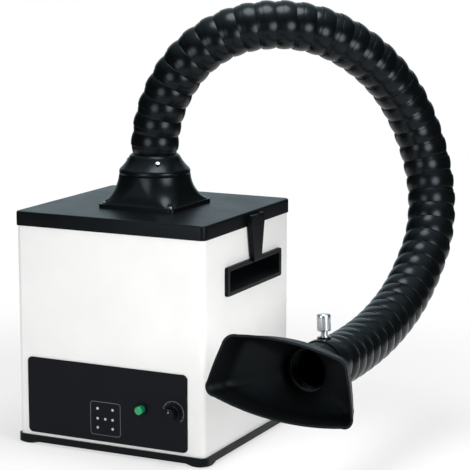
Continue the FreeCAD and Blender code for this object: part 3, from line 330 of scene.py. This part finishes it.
def new_piece(name: str, mesh: bpy.types.Mesh, finish: Optional[Finish], body: str,
              replaces: Sequence[str] = ()) -> None:
    """Put a mesh in the scene as a piece of the object.

    Args:
        name: The piece's name.
        mesh: Its mesh, in the object's frame, in metres.
        finish: Its finish, or nothing where the mesh has one.
        body: The CAD body that it moves with.
        replaces: CAD nodes that it stands for.
    """
    if finish:
        mesh.materials.clear()
        mesh.materials.append(finish.material())
    piece = bpy.data.objects.new(name, mesh)
    bpy.context.scene.collection.objects.link(piece)
    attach(piece, body)
    if replaces:
        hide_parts(*replaces)
    LOG.info("built %s, %d faces", name, len(mesh.polygons))


def plain_mesh(holder: bpy.types.Object) -> bpy.types.Mesh:
    """Turn an object with modifiers into a plain mesh and remove the object.

    Args:
        holder: The object, which is in the scene.

    Returns:
        The evaluated mesh.
    """
    graph = bpy.context.evaluated_depsgraph_get()
    graph.update()
    mesh = bpy.data.meshes.new_from_object(holder.evaluated_get(graph), depsgraph=graph)
    holder.modifiers.clear()
    bpy.data.objects.remove(holder)
    return mesh


def shade(shape: bmesh.types.BMesh, crease_deg: float) -> None:
    """Shade faces smoothly, and keep edges past an angle crisp.

    Args:
        shape: The shape to shade.
        crease_deg: Angle past which an edge stays crisp.
    """
    for face in shape.faces:
        face.smooth = True
    for edge in shape.edges:
        edge.smooth = edge.calc_face_angle(math.pi) < math.radians(crease_deg)


def closed_mesh(name: str, points: Sequence[Place], faces: Sequence[tuple],
                crease_deg: float = 0.0) -> bpy.types.Mesh:
    """Make a mesh whose faces point outwards.

    Args:
        name: The mesh's name.
        points: Its points in metres.
        faces: The numbers of each face's points.
        crease_deg: Angle past which an edge stays crisp, or zero for flat faces.

    Returns:
        The mesh.
    """
    mesh = bpy.data.meshes.new(name)
    mesh.from_pydata(points, [], faces)
    shape = bmesh.new()
    shape.from_mesh(mesh)
    bmesh.ops.recalc_face_normals(shape, faces=shape.faces)
    if crease_deg:
        shade(shape, crease_deg)
    shape.to_mesh(mesh)
    shape.free()
    return mesh


def rounded_edges(name: str, mesh: bpy.types.Mesh, width_mm: float, crease_deg: float) -> bpy.types.Mesh:
    """Round the crisp edges of a mesh.

    Args:
        name: The piece's name.
        mesh: Its mesh.
        width_mm: Width of the rounding.
        crease_deg: Angle past which an edge is crisp.

    Returns:
        The rounded mesh.
    """
    holder = bpy.data.objects.new(name + "_holder", mesh)
    bpy.context.scene.collection.objects.link(holder)
    bevel = holder.modifiers.new("edges", "BEVEL")
    bevel.width = width_mm * MM
    bevel.segments = 2
    bevel.limit_method = "ANGLE"
    bevel.angle_limit = math.radians(crease_deg + BEVEL_MARGIN_DEG)
    bevel.harden_normals = True
    bevel.use_clamp_overlap = True
    return plain_mesh(holder)


def smooth_copy(node: str, finish: Finish, edge_mm: float = 0.0, crease_deg: float = 32.0) -> None:
    """Replace a CAD node by a copy with merged points, smooth faces and small rounded edges.

    Args:
        node: The node's name.
        finish: The finish of the copy.
        edge_mm: Width of the rounding on its edges, or zero for none.
        crease_deg: Angle past which an edge stays crisp.
    """
    mesh = frame["nodes"][node].data.copy()
    shape = bmesh.new()
    shape.from_mesh(mesh)
    bmesh.ops.remove_doubles(shape, verts=shape.verts, dist=MERGE_MM * MM)
    bmesh.ops.dissolve_limit(shape, angle_limit=math.radians(FLAT_DEG), verts=shape.verts,
                             edges=shape.edges)
    shade(shape, crease_deg)
    shape.to_mesh(mesh)
    shape.free()
    mesh.materials.clear()
    if edge_mm:
        mesh = rounded_edges(node, mesh, edge_mm, crease_deg)
    new_piece(node + "_piece", mesh, finish, BODY_OF[node], [node])


def revolve(profile: Sequence[Point], segments: int, name: str) -> bpy.types.Mesh:
    """Turn a closed profile about Z.

    Args:
        profile: Radius and height of each point, in order round the section.
        segments: Steps round the axis.
        name: The mesh's name.

    Returns:
        A closed mesh with smooth faces.
    """
    points = []
    for step in range(segments):
        angle = 2 * math.pi * step / segments
        points += [(r * math.cos(angle), r * math.sin(angle), z) for r, z in profile]
    size = len(profile)
    faces = []
    for step in range(segments):
        here = step * size
        ahead = (step + 1) % segments * size
        for index in range(size):
            after = (index + 1) % size
            faces.append((here + index, ahead + index, ahead + after, here + after))
    return closed_mesh(name, points, faces, ROUND_CREASE_DEG)


def arc(centre: Point, radius: float, start: float, end: float, steps: int) -> list[Point]:
    """Points along a circular arc.

    Args:
        centre: The circle's centre.
        radius: Its radius.
        start: First angle in degrees.
        end: Last angle in degrees.
        steps: Number of points.

    Returns:
        The points, both ends included.
    """
    turns = [math.radians(start + (end - start) * i / (steps - 1)) for i in range(steps)]
    return [(centre[0] + radius * math.cos(t), centre[1] + radius * math.sin(t)) for t in turns]


def arc_through(a: Point, b: Point, c: Point, steps: int) -> list[Point]:
    """Points along the arc from a through b to c.

    Args:
        a: First point.
        b: A point on the way.
        c: Last point.
        steps: Number of points.

    Returns:
        The points, both ends included.
    """
    d = 2 * (a[0] * (b[1] - c[1]) + b[0] * (c[1] - a[1]) + c[0] * (a[1] - b[1]))
    sa, sb, sc = (p[0] ** 2 + p[1] ** 2 for p in (a, b, c))
    x = (sa * (b[1] - c[1]) + sb * (c[1] - a[1]) + sc * (a[1] - b[1])) / d
    y = (sa * (c[0] - b[0]) + sb * (a[0] - c[0]) + sc * (b[0] - a[0])) / d
    start = math.degrees(math.atan2(a[1] - y, a[0] - x))
    end = math.degrees(math.atan2(c[1] - y, c[0] - x))
    return arc((x, y), math.hypot(a[0] - x, a[1] - y), start, end, steps)


def soft_corner(before: Point, corner: Point, after: Point, radius: float) -> list[Point]:
    """Points that round a corner between two straight runs.

    Args:
        before: A point on the run that comes in.
        corner: The corner.
        after: A point on the run that goes out.
        radius: Distance from the corner at which the rounding starts.

    Returns:
        Points of a quadratic curve.
    """
    def toward(target: Point) -> Point:
        """Return the place on a run at which the rounding starts."""
        length = math.hypot(target[0] - corner[0], target[1] - corner[1])
        return (corner[0] + (target[0] - corner[0]) * radius / length,
                corner[1] + (target[1] - corner[1]) * radius / length)

    def bend(share: float, axis: int) -> float:
        """Return one coordinate at a share of the curve."""
        rest = 1 - share
        return rest ** 2 * a[axis] + 2 * share * rest * corner[axis] + share * share * c[axis]

    a, c = toward(before), toward(after)
    return [(bend(share, 0), bend(share, 1)) for share in (0.0, 0.25, 0.5, 0.75, 1.0)]


class PlacedCopies:
    """A Geometry Nodes tree that sets one shape at many points, each turned its own way."""

    def __init__(self) -> None:
        """Build the tree."""
        tree = bpy.data.node_groups.new("placed_copies", "GeometryNodeTree")
        self.add_input(tree, "Points", "NodeSocketGeometry")
        self.shape_id = self.add_input(tree, "Shape", "NodeSocketObject")
        self.finish_id = self.add_input(tree, "Finish", "NodeSocketMaterial")
        self.size_id = self.add_input(tree, "Size", "NodeSocketFloat")
        tree.interface.new_socket("Copies", in_out="OUTPUT", socket_type="NodeSocketGeometry")
        inlet = add_node(tree, "NodeGroupInput")
        shape = add_node(tree, "GeometryNodeObjectInfo", links={"Object": inlet.outputs["Shape"]})
        turn = add_node(tree, "GeometryNodeInputNamedAttribute", {"Name": "turn"},
                        data_type="QUATERNION")
        copies = add_node(tree, "GeometryNodeInstanceOnPoints", links={
            "Points": inlet.outputs["Points"], "Instance": shape.outputs["Geometry"],
            "Rotation": turn.outputs["Attribute"], "Scale": inlet.outputs["Size"]})
        real = add_node(tree, "GeometryNodeRealizeInstances",
                        links={"Geometry": copies.outputs["Instances"]})
        dressed = add_node(tree, "GeometryNodeSetMaterial", links={
            "Geometry": real.outputs["Geometry"], "Material": inlet.outputs["Finish"]})
        add_node(tree, "NodeGroupOutput", links={"Copies": dressed.outputs["Geometry"]})
        self.tree = tree

    def add_input(self, tree: bpy.types.NodeTree, name: str, kind: str) -> str:
        """Add a named input to the tree and return its identifier."""
        return tree.interface.new_socket(name, in_out="INPUT", socket_type=kind).identifier

    def make(self, name: str, shape: bpy.types.Mesh, places: Sequence[Matrix],
             finish: Finish) -> bpy.types.Mesh:
        """Set a shape at each place.

        Args:
            name: The mesh's name.
            shape: The shape, about its own origin.
            places: A turn and a move for each copy.
            finish: The finish of all copies.

        Returns:
            One plain mesh with every copy in it.
        """
        pattern = bpy.data.objects.new(name + "_pattern", shape)
        bpy.context.scene.collection.objects.link(pattern)
        dots = bpy.data.meshes.new(name + "_dots")
        dots.from_pydata([place.translation for place in places], [], [])
        turns = dots.attributes.new("turn", "QUATERNION", "POINT")
        for index, place in enumerate(places):
            turns.data[index].value = place.to_quaternion()
        holder = bpy.data.objects.new(name, dots)
        bpy.context.scene.collection.objects.link(holder)
        modifier = holder.modifiers.new("copies", "NODES")
        modifier.node_group = self.tree
        modifier[self.shape_id] = pattern
        modifier[self.finish_id] = finish.material()
        modifier[self.size_id] = 1.0
        mesh = plain_mesh(holder)
        mesh.name = name
        bpy.data.objects.remove(pattern)
        return mesh


@dataclass
class Arm:
    """The suction arm: ball-and-socket rings in sections that bend as in use.

    Attributes:
        copies: The tree that sets out the rings.
        pitch: Distance between ring centres.
        ball: Radius of each ring's ball.
        socket: Radius of each ring's socket.
        bore: Radius of the air way.
        bulge: Largest radius of a ring.
        bulge_z: Height of that place above the ring's own centre.
        lip_reach: Distance of the socket's lip from its ball's centre.
        lip_latitude: Where the lip ends, in degrees.
        shoulder_reach: Distance of the shoulder from the next ball's centre.
        shoulder_latitude: Where the shoulder meets the ball, in degrees.
        stop_latitude: Where the socket ends inside, in degrees.
        ball_latitude: Where the ball ends, in degrees.
        ball_edge: Where the rounding of that end meets the ball, in degrees.
        ball_lead: Direction in which that rounding runs out, in degrees.
        roundings: Size of the rounding at the ball's end, the shoulder and the lip.
        steps: Points along the socket, the ball and the bulge.
        segments: Steps round a ring.
        base_z: Height of the first ball's centre.
        sections: Node, rings, bend at each ring and direction of the bend, in degrees.
    """

    copies: PlacedCopies
    pitch: float = 29.0
    ball: float = 37.8
    socket: float = 38.1
    bore: float = 31.0
    bulge: float = 39.4
    bulge_z: float = 5.2
    lip_reach: float = 38.85
    lip_latitude: float = -5.0
    shoulder_reach: float = 38.25
    shoulder_latitude: float = -15.8
    stop_latitude: float = 22.0
    ball_latitude: float = 10.0
    ball_edge: float = 7.0
    ball_lead: float = 5.0
    roundings: tuple[float, float, float] = (0.8, 0.6, 0.5)
    steps: tuple[int, int, int] = (7, 10, 21)
    segments: int = 72
    base_z: float = 483.5
    sections: tuple[tuple[str, int, float, float], ...] = (
        ("arm_base_ring", 1, 7.2, 14.0), ("arm_section_1", 4, 7.3, 13.1),
        ("arm_section_2", 5, 9.22, 31.2), ("arm_section_3", 5, 7.96, 47.2),
        ("arm_section_4", 5, 5.43, 38.1), ("arm_section_5", 5, 7.44, -15.6),
        ("arm_section_6", 5, 8.9, -12.7), ("arm_section_7", 5, 4.9, -30.0),
        ("arm_section_8", 4, 3.07, -34.0), ("arm_section_9", 4, 2.17, -49.3),
    )

    def at(self, radius: float, latitude: float, height: float = 0.0) -> Point:
        """Return a point on a ball from its latitude."""
        angle = math.radians(latitude)
        return radius * math.cos(angle), height + radius * math.sin(angle)

    def ring_profile(self) -> list[Point]:
        """Draw the section of one ring.

        Returns:
            Radius and height of each point round the section, in millimetres.
        """
        ball_round, shoulder_round, lip_round = self.roundings
        socket_steps, ball_steps, bulge_steps = self.steps
        lip_in = self.at(self.socket, self.lip_latitude)
        lip_out = self.at(self.lip_reach, self.lip_latitude)
        stop = self.at(self.socket, self.stop_latitude)
        ball_end = self.at(self.ball, self.ball_latitude, self.pitch)
        ball_next = self.at(self.ball, self.ball_lead, self.pitch)
        shoulder_in = self.at(self.ball, self.shoulder_latitude, self.pitch)
        shoulder_out = self.at(self.shoulder_reach, self.shoulder_latitude, self.pitch)
        bulge = arc_through(shoulder_out, (self.bulge, self.bulge_z), lip_out, bulge_steps)
        points = arc((0, 0), self.socket, self.lip_latitude, self.stop_latitude, socket_steps)
        points += [(self.bore, stop[1]), (self.bore, ball_end[1])]
        points += soft_corner((self.bore, ball_end[1]), ball_end, ball_next, ball_round)
        points += arc((0, self.pitch), self.ball, self.ball_edge, self.shoulder_latitude, ball_steps)
        points += soft_corner(shoulder_in, shoulder_out, bulge[1], shoulder_round)
        points += bulge[1:-1]
        points += soft_corner(bulge[-2], lip_out, lip_in, lip_round)
        return points

    def build(self) -> None:
        """Set out the rings of every section."""
        profile = [(r * MM, z * MM) for r, z in self.ring_profile()]
        turn = Quaternion()
        centre = Vector((0.0, 0.0, self.base_z * MM))
        for node, count, bend, direction in self.sections:
            way = math.radians(direction)
            tilt = Quaternion((-math.sin(way), math.cos(way), 0.0), math.radians(bend))
            places = []
            for _ in range(count):
                turn = turn @ tilt
                places.append(Matrix.Translation(centre) @ turn.to_matrix().to_4x4())
                centre = centre + turn @ Vector((0.0, 0.0, self.pitch * MM))
            ring = revolve(profile, self.segments, node + "_ring")
            mesh = self.copies.make(node + "_rings", ring, places, ARM_PLASTIC)
            new_piece(node + "_rings", mesh, None, node, [node])


@dataclass
class Lid:
    """The lid with its latch straps, the boot and the bell that carries the arm.

    Attributes:
        edge_mm: Width of the rounding on the straps' edges.
    """

    edge_mm: float = 1.0

    def build(self) -> None:
        """Dress the lid and what stands on it."""
        smooth_copy("lid", LID_PLASTIC)
        smooth_copy("arm_boot", BOOT_PLASTIC)
        smooth_copy("arm_collar", BOOT_PLASTIC)
        for side in ("right", "left"):
            smooth_copy("latch_strap_" + side, TRIM_PLASTIC, self.edge_mm)
        dress(STEEL, "flange_screws", "collar_screws", "latch_pins")
        dress(FOAM, "lid_gasket")


@dataclass
class Cabinet:
    """The white cabinet, its base and grips, and the filters and fan inside.

    Attributes:
        edge_mm: Width of the rounding on the grips' edges.
    """

    edge_mm: float = 0.8

    def build(self) -> None:
        """Dress the cabinet from outside in."""
        smooth_copy("cabinet_shell", WHITE_POWDER)
        smooth_copy("rear_panel", WHITE_POWDER)
        smooth_copy("base_tray", TRIM_PLASTIC)
        for side in ("right", "left"):
            smooth_copy("grip_cup_" + side, TRIM_PLASTIC, self.edge_mm)
        dress(RUBBER, "foot_pads")
        dress(STEEL, "rear_panel_screws", "inlet_screws", "motor_shaft")
        smooth_copy("power_inlet", TRIM_PLASTIC)
        dress(BRASS, "inlet_pins")
        dress(ALUMINIUM, "fan_deck", "inlet_ring", "fan_motor", "motor_bracket", "power_supply")
        dress(FAN_PLASTIC, "scroll_housing", "impeller", "board_spacers")
        dress(BOARD, "control_board")
        dress(FOAM, "filter_seal")
        dress(CARD, "filter_frame")
        dress(PAPER, "filter_pleats")
        dress(CARBON, "carbon_bed")
        dress(FLEECE, "prefilter_mat")


@dataclass
class Controls:
    """The control panel: overlay, print, lamps, push button and speed knob.

    Attributes:
        copies: The tree that sets out the dial's ticks.
        face_y: Plane of the panel's face.
        ink_mm: Thickness of the print.
        line_mm: Width of a printed line.
        lamp_frame: Centre and size of the outline round the lamps.
        frame_corner: Radius of that outline's corners.
        corner_steps: Points round a corner.
        dial: Centre of the speed knob.
        dial_radius: Radius of the dial's arc.
        dial_ends: Where the arc starts and ends, in degrees.
        arc_steps: Points along the arc.
        ticks: Number of ticks along the arc.
        tick_size: Length and width of a tick.
        tick_inset: Distance of a tick's middle from the arc.
    """

    copies: PlacedCopies
    face_y: float = -158.8
    ink_mm: float = 0.08
    line_mm: float = 0.5
    lamp_frame: tuple[float, float, float] = (-7.0, 59.0, 55.0)
    frame_corner: float = 5.0
    corner_steps: int = 6
    dial: Point = (116.0, 84.0)
    dial_radius: float = 18.5
    dial_ends: Point = (162.0, -42.0)
    arc_steps: int = 49
    ticks: int = 9
    tick_size: Point = (1.4, 0.4)
    tick_inset: float = 1.6

    def printed(self, name: str, outline: Sequence[Point], inner: Sequence[Point]) -> bpy.types.Mesh:
        """Make a closed printed band between two outlines with as many points each.

        Args:
            name: The mesh's name.
            outline: Outer points across and up the panel, in millimetres.
            inner: Inner points in the same order.

        Returns:
            A thin band that stands on the panel's face.
        """
        size = len(outline)
        back = self.face_y
        front = self.face_y - self.ink_mm
        rows = [[(x * MM, y * MM, z * MM) for x, z in points] for points, y in
                ((outline, back), (outline, front), (inner, front), (inner, back))]
        faces = []
        for row in range(4):
            below = row * size
            above = (row + 1) % 4 * size
            for index in range(size):
                after = (index + 1) % size
                faces.append((below + index, below + after, above + after, above + index))
        return closed_mesh(name, [point for row in rows for point in row], faces)

    def rounded_square(self, half: float, corner: float) -> list[Point]:
        """Set out a square with rounded corners about the lamp frame's centre.

        Args:
            half: Half of its width.
            corner: Radius of its corners.

        Returns:
            Points round it, in millimetres.
        """
        x, z, _ = self.lamp_frame
        points = []
        for index, (sx, sz) in enumerate(((1, 1), (-1, 1), (-1, -1), (1, -1))):
            middle = (x + sx * (half - corner), z + sz * (half - corner))
            points += arc(middle, corner, 90.0 * index, 90.0 * index + 90.0, self.corner_steps)
        return points

    def dial_ticks(self) -> bpy.types.Mesh:
        """Set the ticks round the dial by Geometry Nodes.

        Returns:
            One mesh with every tick.
        """
        long, wide = self.tick_size
        bar = bpy.data.meshes.new("tick")
        shape = bmesh.new()
        bmesh.ops.create_cube(shape, size=1.0)
        bmesh.ops.scale(shape, vec=(long * MM, self.ink_mm * MM, wide * MM), verts=shape.verts)
        shape.to_mesh(bar)
        shape.free()
        reach = self.dial_radius - self.tick_inset
        places = []
        for index in range(self.ticks):
            angle = math.radians(self.dial_angle(index / (self.ticks - 1)))
            x, z = self.on_dial(angle, reach)
            at = Vector((x, self.face_y - self.ink_mm / 2, z)) * MM
            places.append(Matrix.Translation(at) @ Matrix.Rotation(-angle, 4, "Y"))
        return self.copies.make("dial_ticks", bar, places, GREY_INK)

    def on_dial(self, angle: float, radius: float) -> Point:
        """Return a point round the dial, in millimetres."""
        return self.dial[0] + radius * math.cos(angle), self.dial[1] + radius * math.sin(angle)

    def dial_angle(self, share: float) -> float:
        """Return the angle at a share of the dial's arc, in degrees."""
        start, end = self.dial_ends
        return start + (end - start) * share

    def dial_arc(self) -> bpy.types.Mesh:
        """Make the thin arc round the knob.

        Returns:
            A thin open band that stands on the panel's face.
        """
        angles = [math.radians(self.dial_angle(i / (self.arc_steps - 1))) for i in range(self.arc_steps)]
        outer = [self.on_dial(angle, self.dial_radius + self.line_mm) for angle in angles]
        inner = [self.on_dial(angle, self.dial_radius) for angle in angles]
        outline = outer + inner[::-1]
        count = len(outline)
        back = [(x * MM, self.face_y * MM, z * MM) for x, z in outline]
        front = [(x * MM, (self.face_y - self.ink_mm) * MM, z * MM) for x, z in outline]
        faces = [(i, (i + 1) % count, count + (i + 1) % count, count + i) for i in range(count)]
        for a in range(self.arc_steps - 1):
            b, c, d = a + 1, count - 2 - a, count - 1 - a
            faces.append((a, d, c, b))
            faces.append((count + a, count + b, count + c, count + d))
        return closed_mesh("dial_arc", back + front, faces)

    def build(self) -> None:
        """Dress the panel and add its print."""
        dress(PANEL_FILM, "fascia")
        half = self.lamp_frame[2] / 2
        outline = self.rounded_square(half, self.frame_corner)
        inner = self.rounded_square(half - self.line_mm, self.frame_corner - self.line_mm)
        frame_print = self.printed("lamp_frame", outline, inner)
        new_piece("lamp_frame_print", frame_print, GREY_INK, "cabinet")
        new_piece("dial_arc_print", self.dial_arc(), GREY_INK, "cabinet")
        new_piece("dial_tick_print", self.dial_ticks(), None, "cabinet")
        smooth_copy("button_bezel", TRIM_PLASTIC)
        smooth_copy("push_button", GREEN_CAP)
        smooth_copy("speed_knob", TRIM_PLASTIC)
        dress(PALE_INK, "knob_pointer")
        dress(STEEL, "knob_spindle")
        dress(ALUMINIUM, "potentiometer")
        dress(TRIM_PLASTIC, "switch_body")
        smooth_copy("indicator_lenses", LAMP_DOME)


@dataclass
class Nozzle:
    """The neck on the last ball, its clamp cuff, the hood that turns in it, and the lock screw.

    Attributes:
        copies: The tree that sets out the ribs of the throat.
        ball: Centre of the last ball.
        axis: Direction of the duct, toward the mouth.
        throat: Radius of the spigot's bore.
        rib_radius: Radius of a rib's round section.
        rib_sunk: How deep that section's middle lies in the wall.
        rib_steps: Points along that section.
        rib_segments: Steps round a rib.
        ribs: Distances of the ribs from the last ball.
    """

    copies: PlacedCopies
    ball: Place = (394.85, -169.48, 201.11)
    axis: Place = (-0.0295, -0.9965, 0.0788)
    throat: float = 29.8
    rib_radius: float = 2.0
    rib_sunk: float = 0.3
    rib_steps: int = 9
    rib_segments: int = 96
    ribs: tuple[float, ...] = (87.0, 78.0, 69.0)

    def throat_ribs(self) -> bpy.types.Mesh:
        """Set the ribs of the spigot's bore along the duct by Geometry Nodes.

        Returns:
            One mesh with every rib.
        """
        middle = (self.throat + self.rib_sunk, 0.0)
        section = arc(middle, self.rib_radius, 270.0, 90.0, self.rib_steps)
        rib = revolve([(r * MM, z * MM) for r, z in section], self.rib_segments, "throat_rib")
        way = Vector(self.axis).normalized()
        turn = way.to_track_quat("Z", "Y").to_matrix().to_4x4()
        ball = Vector(self.ball)
        places = [Matrix.Translation((ball + way * along) * MM) @ turn for along in self.ribs]
        return self.copies.make("throat_ribs", rib, places, ARM_PLASTIC)

    def build(self) -> None:
        """Dress the nozzle's pieces and add the ribs."""
        smooth_copy("nozzle_neck", ARM_PLASTIC)
        smooth_copy("clamp_cuff", ARM_PLASTIC)
        smooth_copy("nozzle_hood", HOOD_PLASTIC)
        smooth_copy("hood_spigot", HOOD_PLASTIC)
        new_piece("throat_ribs", self.throat_ribs(), None, BODY_OF["hood_spigot"])
        smooth_copy("lock_knob", NICKEL)
        smooth_copy("lock_bush", NICKEL)


@dataclass(frozen=True)
class SoftBox:
    """A round soft box.

    Attributes:
        name: The lamp's name.
        at: Its place.
        toward: The point that it faces.
        size: Its diameter.
        power: Its power in watts.
    """

    name: str
    at: Place
    toward: Place
    size: float
    power: float

    def build(self) -> None:
        """Put the lamp in the scene, out of the camera's sight."""
        data = bpy.data.lights.new(self.name, "AREA")
        data.shape = "DISK"
        data.size = self.size
        data.energy = self.power
        lamp = bpy.data.objects.new(self.name, data)
        lamp.visible_camera = False
        bpy.context.scene.collection.objects.link(lamp)
        way = Vector(self.toward) - Vector(self.at)
        turn = way.to_track_quat("-Z", "Y").to_matrix().to_4x4()
        lamp.matrix_world = Matrix.Translation(self.at) @ turn


@dataclass
class Studio:
    """Camera, lamps, floor and backdrop.

    Attributes:
        eye: The camera's place.
        right: Direction to the right of the image.
        up: Direction to the top of the image.
        lens: Focal length for the sensor.
        sensor: Width of the sensor.
        view_end: Distance at which the camera's sight ends.
        backdrop: Direction from the object to the middle of the backdrop.
        backdrop_fade: Nearness to that direction over which the backdrop turns white.
        overhead_fade: Height of a direction over which the ceiling turns white.
        sweep: Cool white of the backdrop as the black plastic mirrors it.
        fill: Light of the dim room round the object.
        dim: Brightness of that room as the object mirrors it.
        floor_paint: Colour of the floor.
        floor_radius: Size of the floor in metres.
        floor_segments: Steps round the floor.
        floor_glow: Share of pure white in the floor as it is seen near the object.
        floor_fade: Distances between which the floor turns to pure white.
        lamps: The soft boxes.
    """

    eye: Place = (1.4247, -2.6164, 0.8623)
    right: Place = (0.89848, 0.43901, 0.0)
    up: Place = (-0.07679, 0.15716, 0.98458)
    lens: float = 140.3
    sensor: float = 36.0
    view_end: float = 50.0
    backdrop: Place = (-0.42, 0.86, 0.29)
    backdrop_fade: Point = (0.8, 0.93)
    overhead_fade: Point = (0.45, 0.95)
    sweep: str = "#d3e8f0"
    fill: float = 0.2
    dim: float = 0.04
    floor_paint: str = "#fafafa"
    floor_radius: float = 1.6
    floor_segments: int = 96
    floor_glow: float = 0.6
    floor_fade: Point = (0.35, 1.1)
    lamps: tuple[SoftBox, ...] = (
        SoftBox("soft_box_front", (-0.15, -1.59, 0.6), (0.1, 0.0, 0.3), 0.85, 9.1),
        SoftBox("soft_box_right", (1.15, -0.53, 0.6), (0.1, 0.0, 0.3), 0.62, 9.5),
        SoftBox("soft_box_above", (0.25, -0.1, 1.9), (0.1, 0.0, 0.4), 0.85, 18.5),
    )

    def camera(self) -> None:
        """Set the camera at the photograph's viewing angle."""
        data = bpy.data.cameras.new("camera")
        data.lens = self.lens
        data.sensor_width = self.sensor
        data.clip_end = self.view_end
        camera = bpy.data.objects.new("camera", data)
        bpy.context.scene.collection.objects.link(camera)
        right = Vector(self.right).normalized()
        up = Vector(self.up).normalized()
        back = right.cross(up)
        turn = Matrix((right, up, back)).transposed()
        camera.matrix_world = Matrix.Translation(self.eye) @ turn.to_4x4()
        bpy.context.scene.camera = camera

    def larger(self, tree: bpy.types.NodeTree, *shares: bpy.types.NodeSocket) -> bpy.types.NodeSocket:
        """Add nodes that pick the largest of several shares.

        Args:
            tree: The tree that gets them.
            *shares: The shares to compare.

        Returns:
            The largest share.
        """
        largest = shares[0]
        for share in shares[1:]:
            pick = add_node(tree, "ShaderNodeMath", links={0: largest, 1: share}, operation="MAXIMUM")
            largest = pick.outputs[0]
        return largest

    def mirrored(self, tree: bpy.types.NodeTree) -> bpy.types.NodeSocket:
        """Add nodes for the surround's brightness as the object mirrors it.

        Args:
            tree: The world's tree.

        Returns:
            White behind the object and overhead, and dim elsewhere.
        """
        way = add_node(tree, "ShaderNodeTexCoord").outputs["Generated"]
        height = add_node(tree, "ShaderNodeSeparateXYZ", links={"Vector": way}).outputs["Z"]
        toward = add_node(tree, "ShaderNodeVectorMath", {1: self.backdrop}, {0: way},
                          operation="DOT_PRODUCT").outputs["Value"]
        whites = []
        for value, (low, high) in ((height, self.overhead_fade), (toward, self.backdrop_fade)):
            white = add_node(tree, "ShaderNodeMapRange", {"From Min": low, "From Max": high},
                             {"Value": value})
            whites.append(white.outputs["Result"])
        level = add_node(tree, "ShaderNodeMapRange", {"To Min": self.dim, "To Max": 1.0},
                         {"Value": self.larger(tree, *whites)})
        return level.outputs["Result"]

    def world(self) -> None:
        """Make a white background with a dim studio round it."""
        world = bpy.data.worlds.new("surround")
        world.use_nodes = True
        tree = world.node_tree
        tree.nodes.clear()
        path = add_node(tree, "ShaderNodeLightPath")
        seen = self.larger(tree, path.outputs["Is Camera Ray"], path.outputs["Is Transmission Ray"])
        room = add_node(tree, "ShaderNodeBackground",
                        {"Color": linear("#ffffff"), "Strength": self.fill})
        sweep = add_node(tree, "ShaderNodeBackground", {"Color": linear(self.sweep)},
                         {"Strength": self.mirrored(tree)})
        white = add_node(tree, "ShaderNodeBackground", {"Color": linear("#ffffff"), "Strength": 1.0})
        studio = add_node(tree, "ShaderNodeMixShader", links={
            0: path.outputs["Is Glossy Ray"], 1: room.outputs[0], 2: sweep.outputs[0]})
        mix = add_node(tree, "ShaderNodeMixShader", links={
            0: seen, 1: studio.outputs[0], 2: white.outputs[0]})
        add_node(tree, "ShaderNodeOutputWorld", links={"Surface": mix.outputs[0]})
        bpy.context.scene.world = world

    def floor_material(self) -> bpy.types.Material:
        """Make the floor's paint, which glows white to the eye farther from the object.

        Returns:
            The material.
        """
        material = bpy.data.materials.new("painted_floor_white")
        material.use_nodes = True
        tree = material.node_tree
        tree.nodes.clear()
        path = add_node(tree, "ShaderNodeLightPath")
        seen = self.larger(tree, path.outputs["Is Camera Ray"], path.outputs["Is Glossy Ray"],
                           path.outputs["Is Transmission Ray"])
        place = add_node(tree, "ShaderNodeTexCoord").outputs["Object"]
        reach = add_node(tree, "ShaderNodeVectorMath", links={0: place}, operation="LENGTH")
        near, far = self.floor_fade
        fade = add_node(tree, "ShaderNodeMapRange", {
            "From Min": near, "From Max": far, "To Min": self.floor_glow, "To Max": 1.0,
        }, {"Value": reach.outputs["Value"]}, interpolation_type="SMOOTHSTEP")
        share = add_node(tree, "ShaderNodeMath", links={0: seen, 1: fade.outputs["Result"]},
                         operation="MULTIPLY")
        paint = add_node(tree, "ShaderNodeBsdfDiffuse", {"Color": linear(self.floor_paint)})
        glow = add_node(tree, "ShaderNodeEmission", {"Color": linear("#ffffff"), "Strength": 1.0})
        mix = add_node(tree, "ShaderNodeMixShader", links={
            0: share.outputs[0], 1: paint.outputs[0], 2: glow.outputs[0]})
        add_node(tree, "ShaderNodeOutputMaterial", links={"Surface": mix.outputs[0]})
        return material

    def floor(self) -> None:
        """Lay a round pale floor that keeps the object's shadow and fades into the white surround."""
        mesh = bpy.data.meshes.new("floor")
        shape = bmesh.new()
        bmesh.ops.create_circle(shape, cap_ends=True, segments=self.floor_segments,
                                radius=self.floor_radius)
        shape.to_mesh(mesh)
        shape.free()
        mesh.materials.append(self.floor_material())
        floor = bpy.data.objects.new("floor", mesh)
        bpy.context.scene.collection.objects.link(floor)

    def build(self) -> None:
        """Set up the studio."""
        self.camera()
        self.world()
        self.floor()
        for lamp in self.lamps:
            lamp.build()
        bpy.context.scene.view_settings.view_transform = "Standard"


def main() -> None:
    """Build the studio and every sub-assembly."""
    logging.basicConfig(level=logging.INFO)
    Studio().build()
    copies = PlacedCopies()
    for assembly in (Cabinet(), Controls(copies), Lid(), Arm(copies), Nozzle(copies)):
        assembly.build()
        LOG.info("finished %s", type(assembly).__name__)


if __name__ == "__main__":
    main()
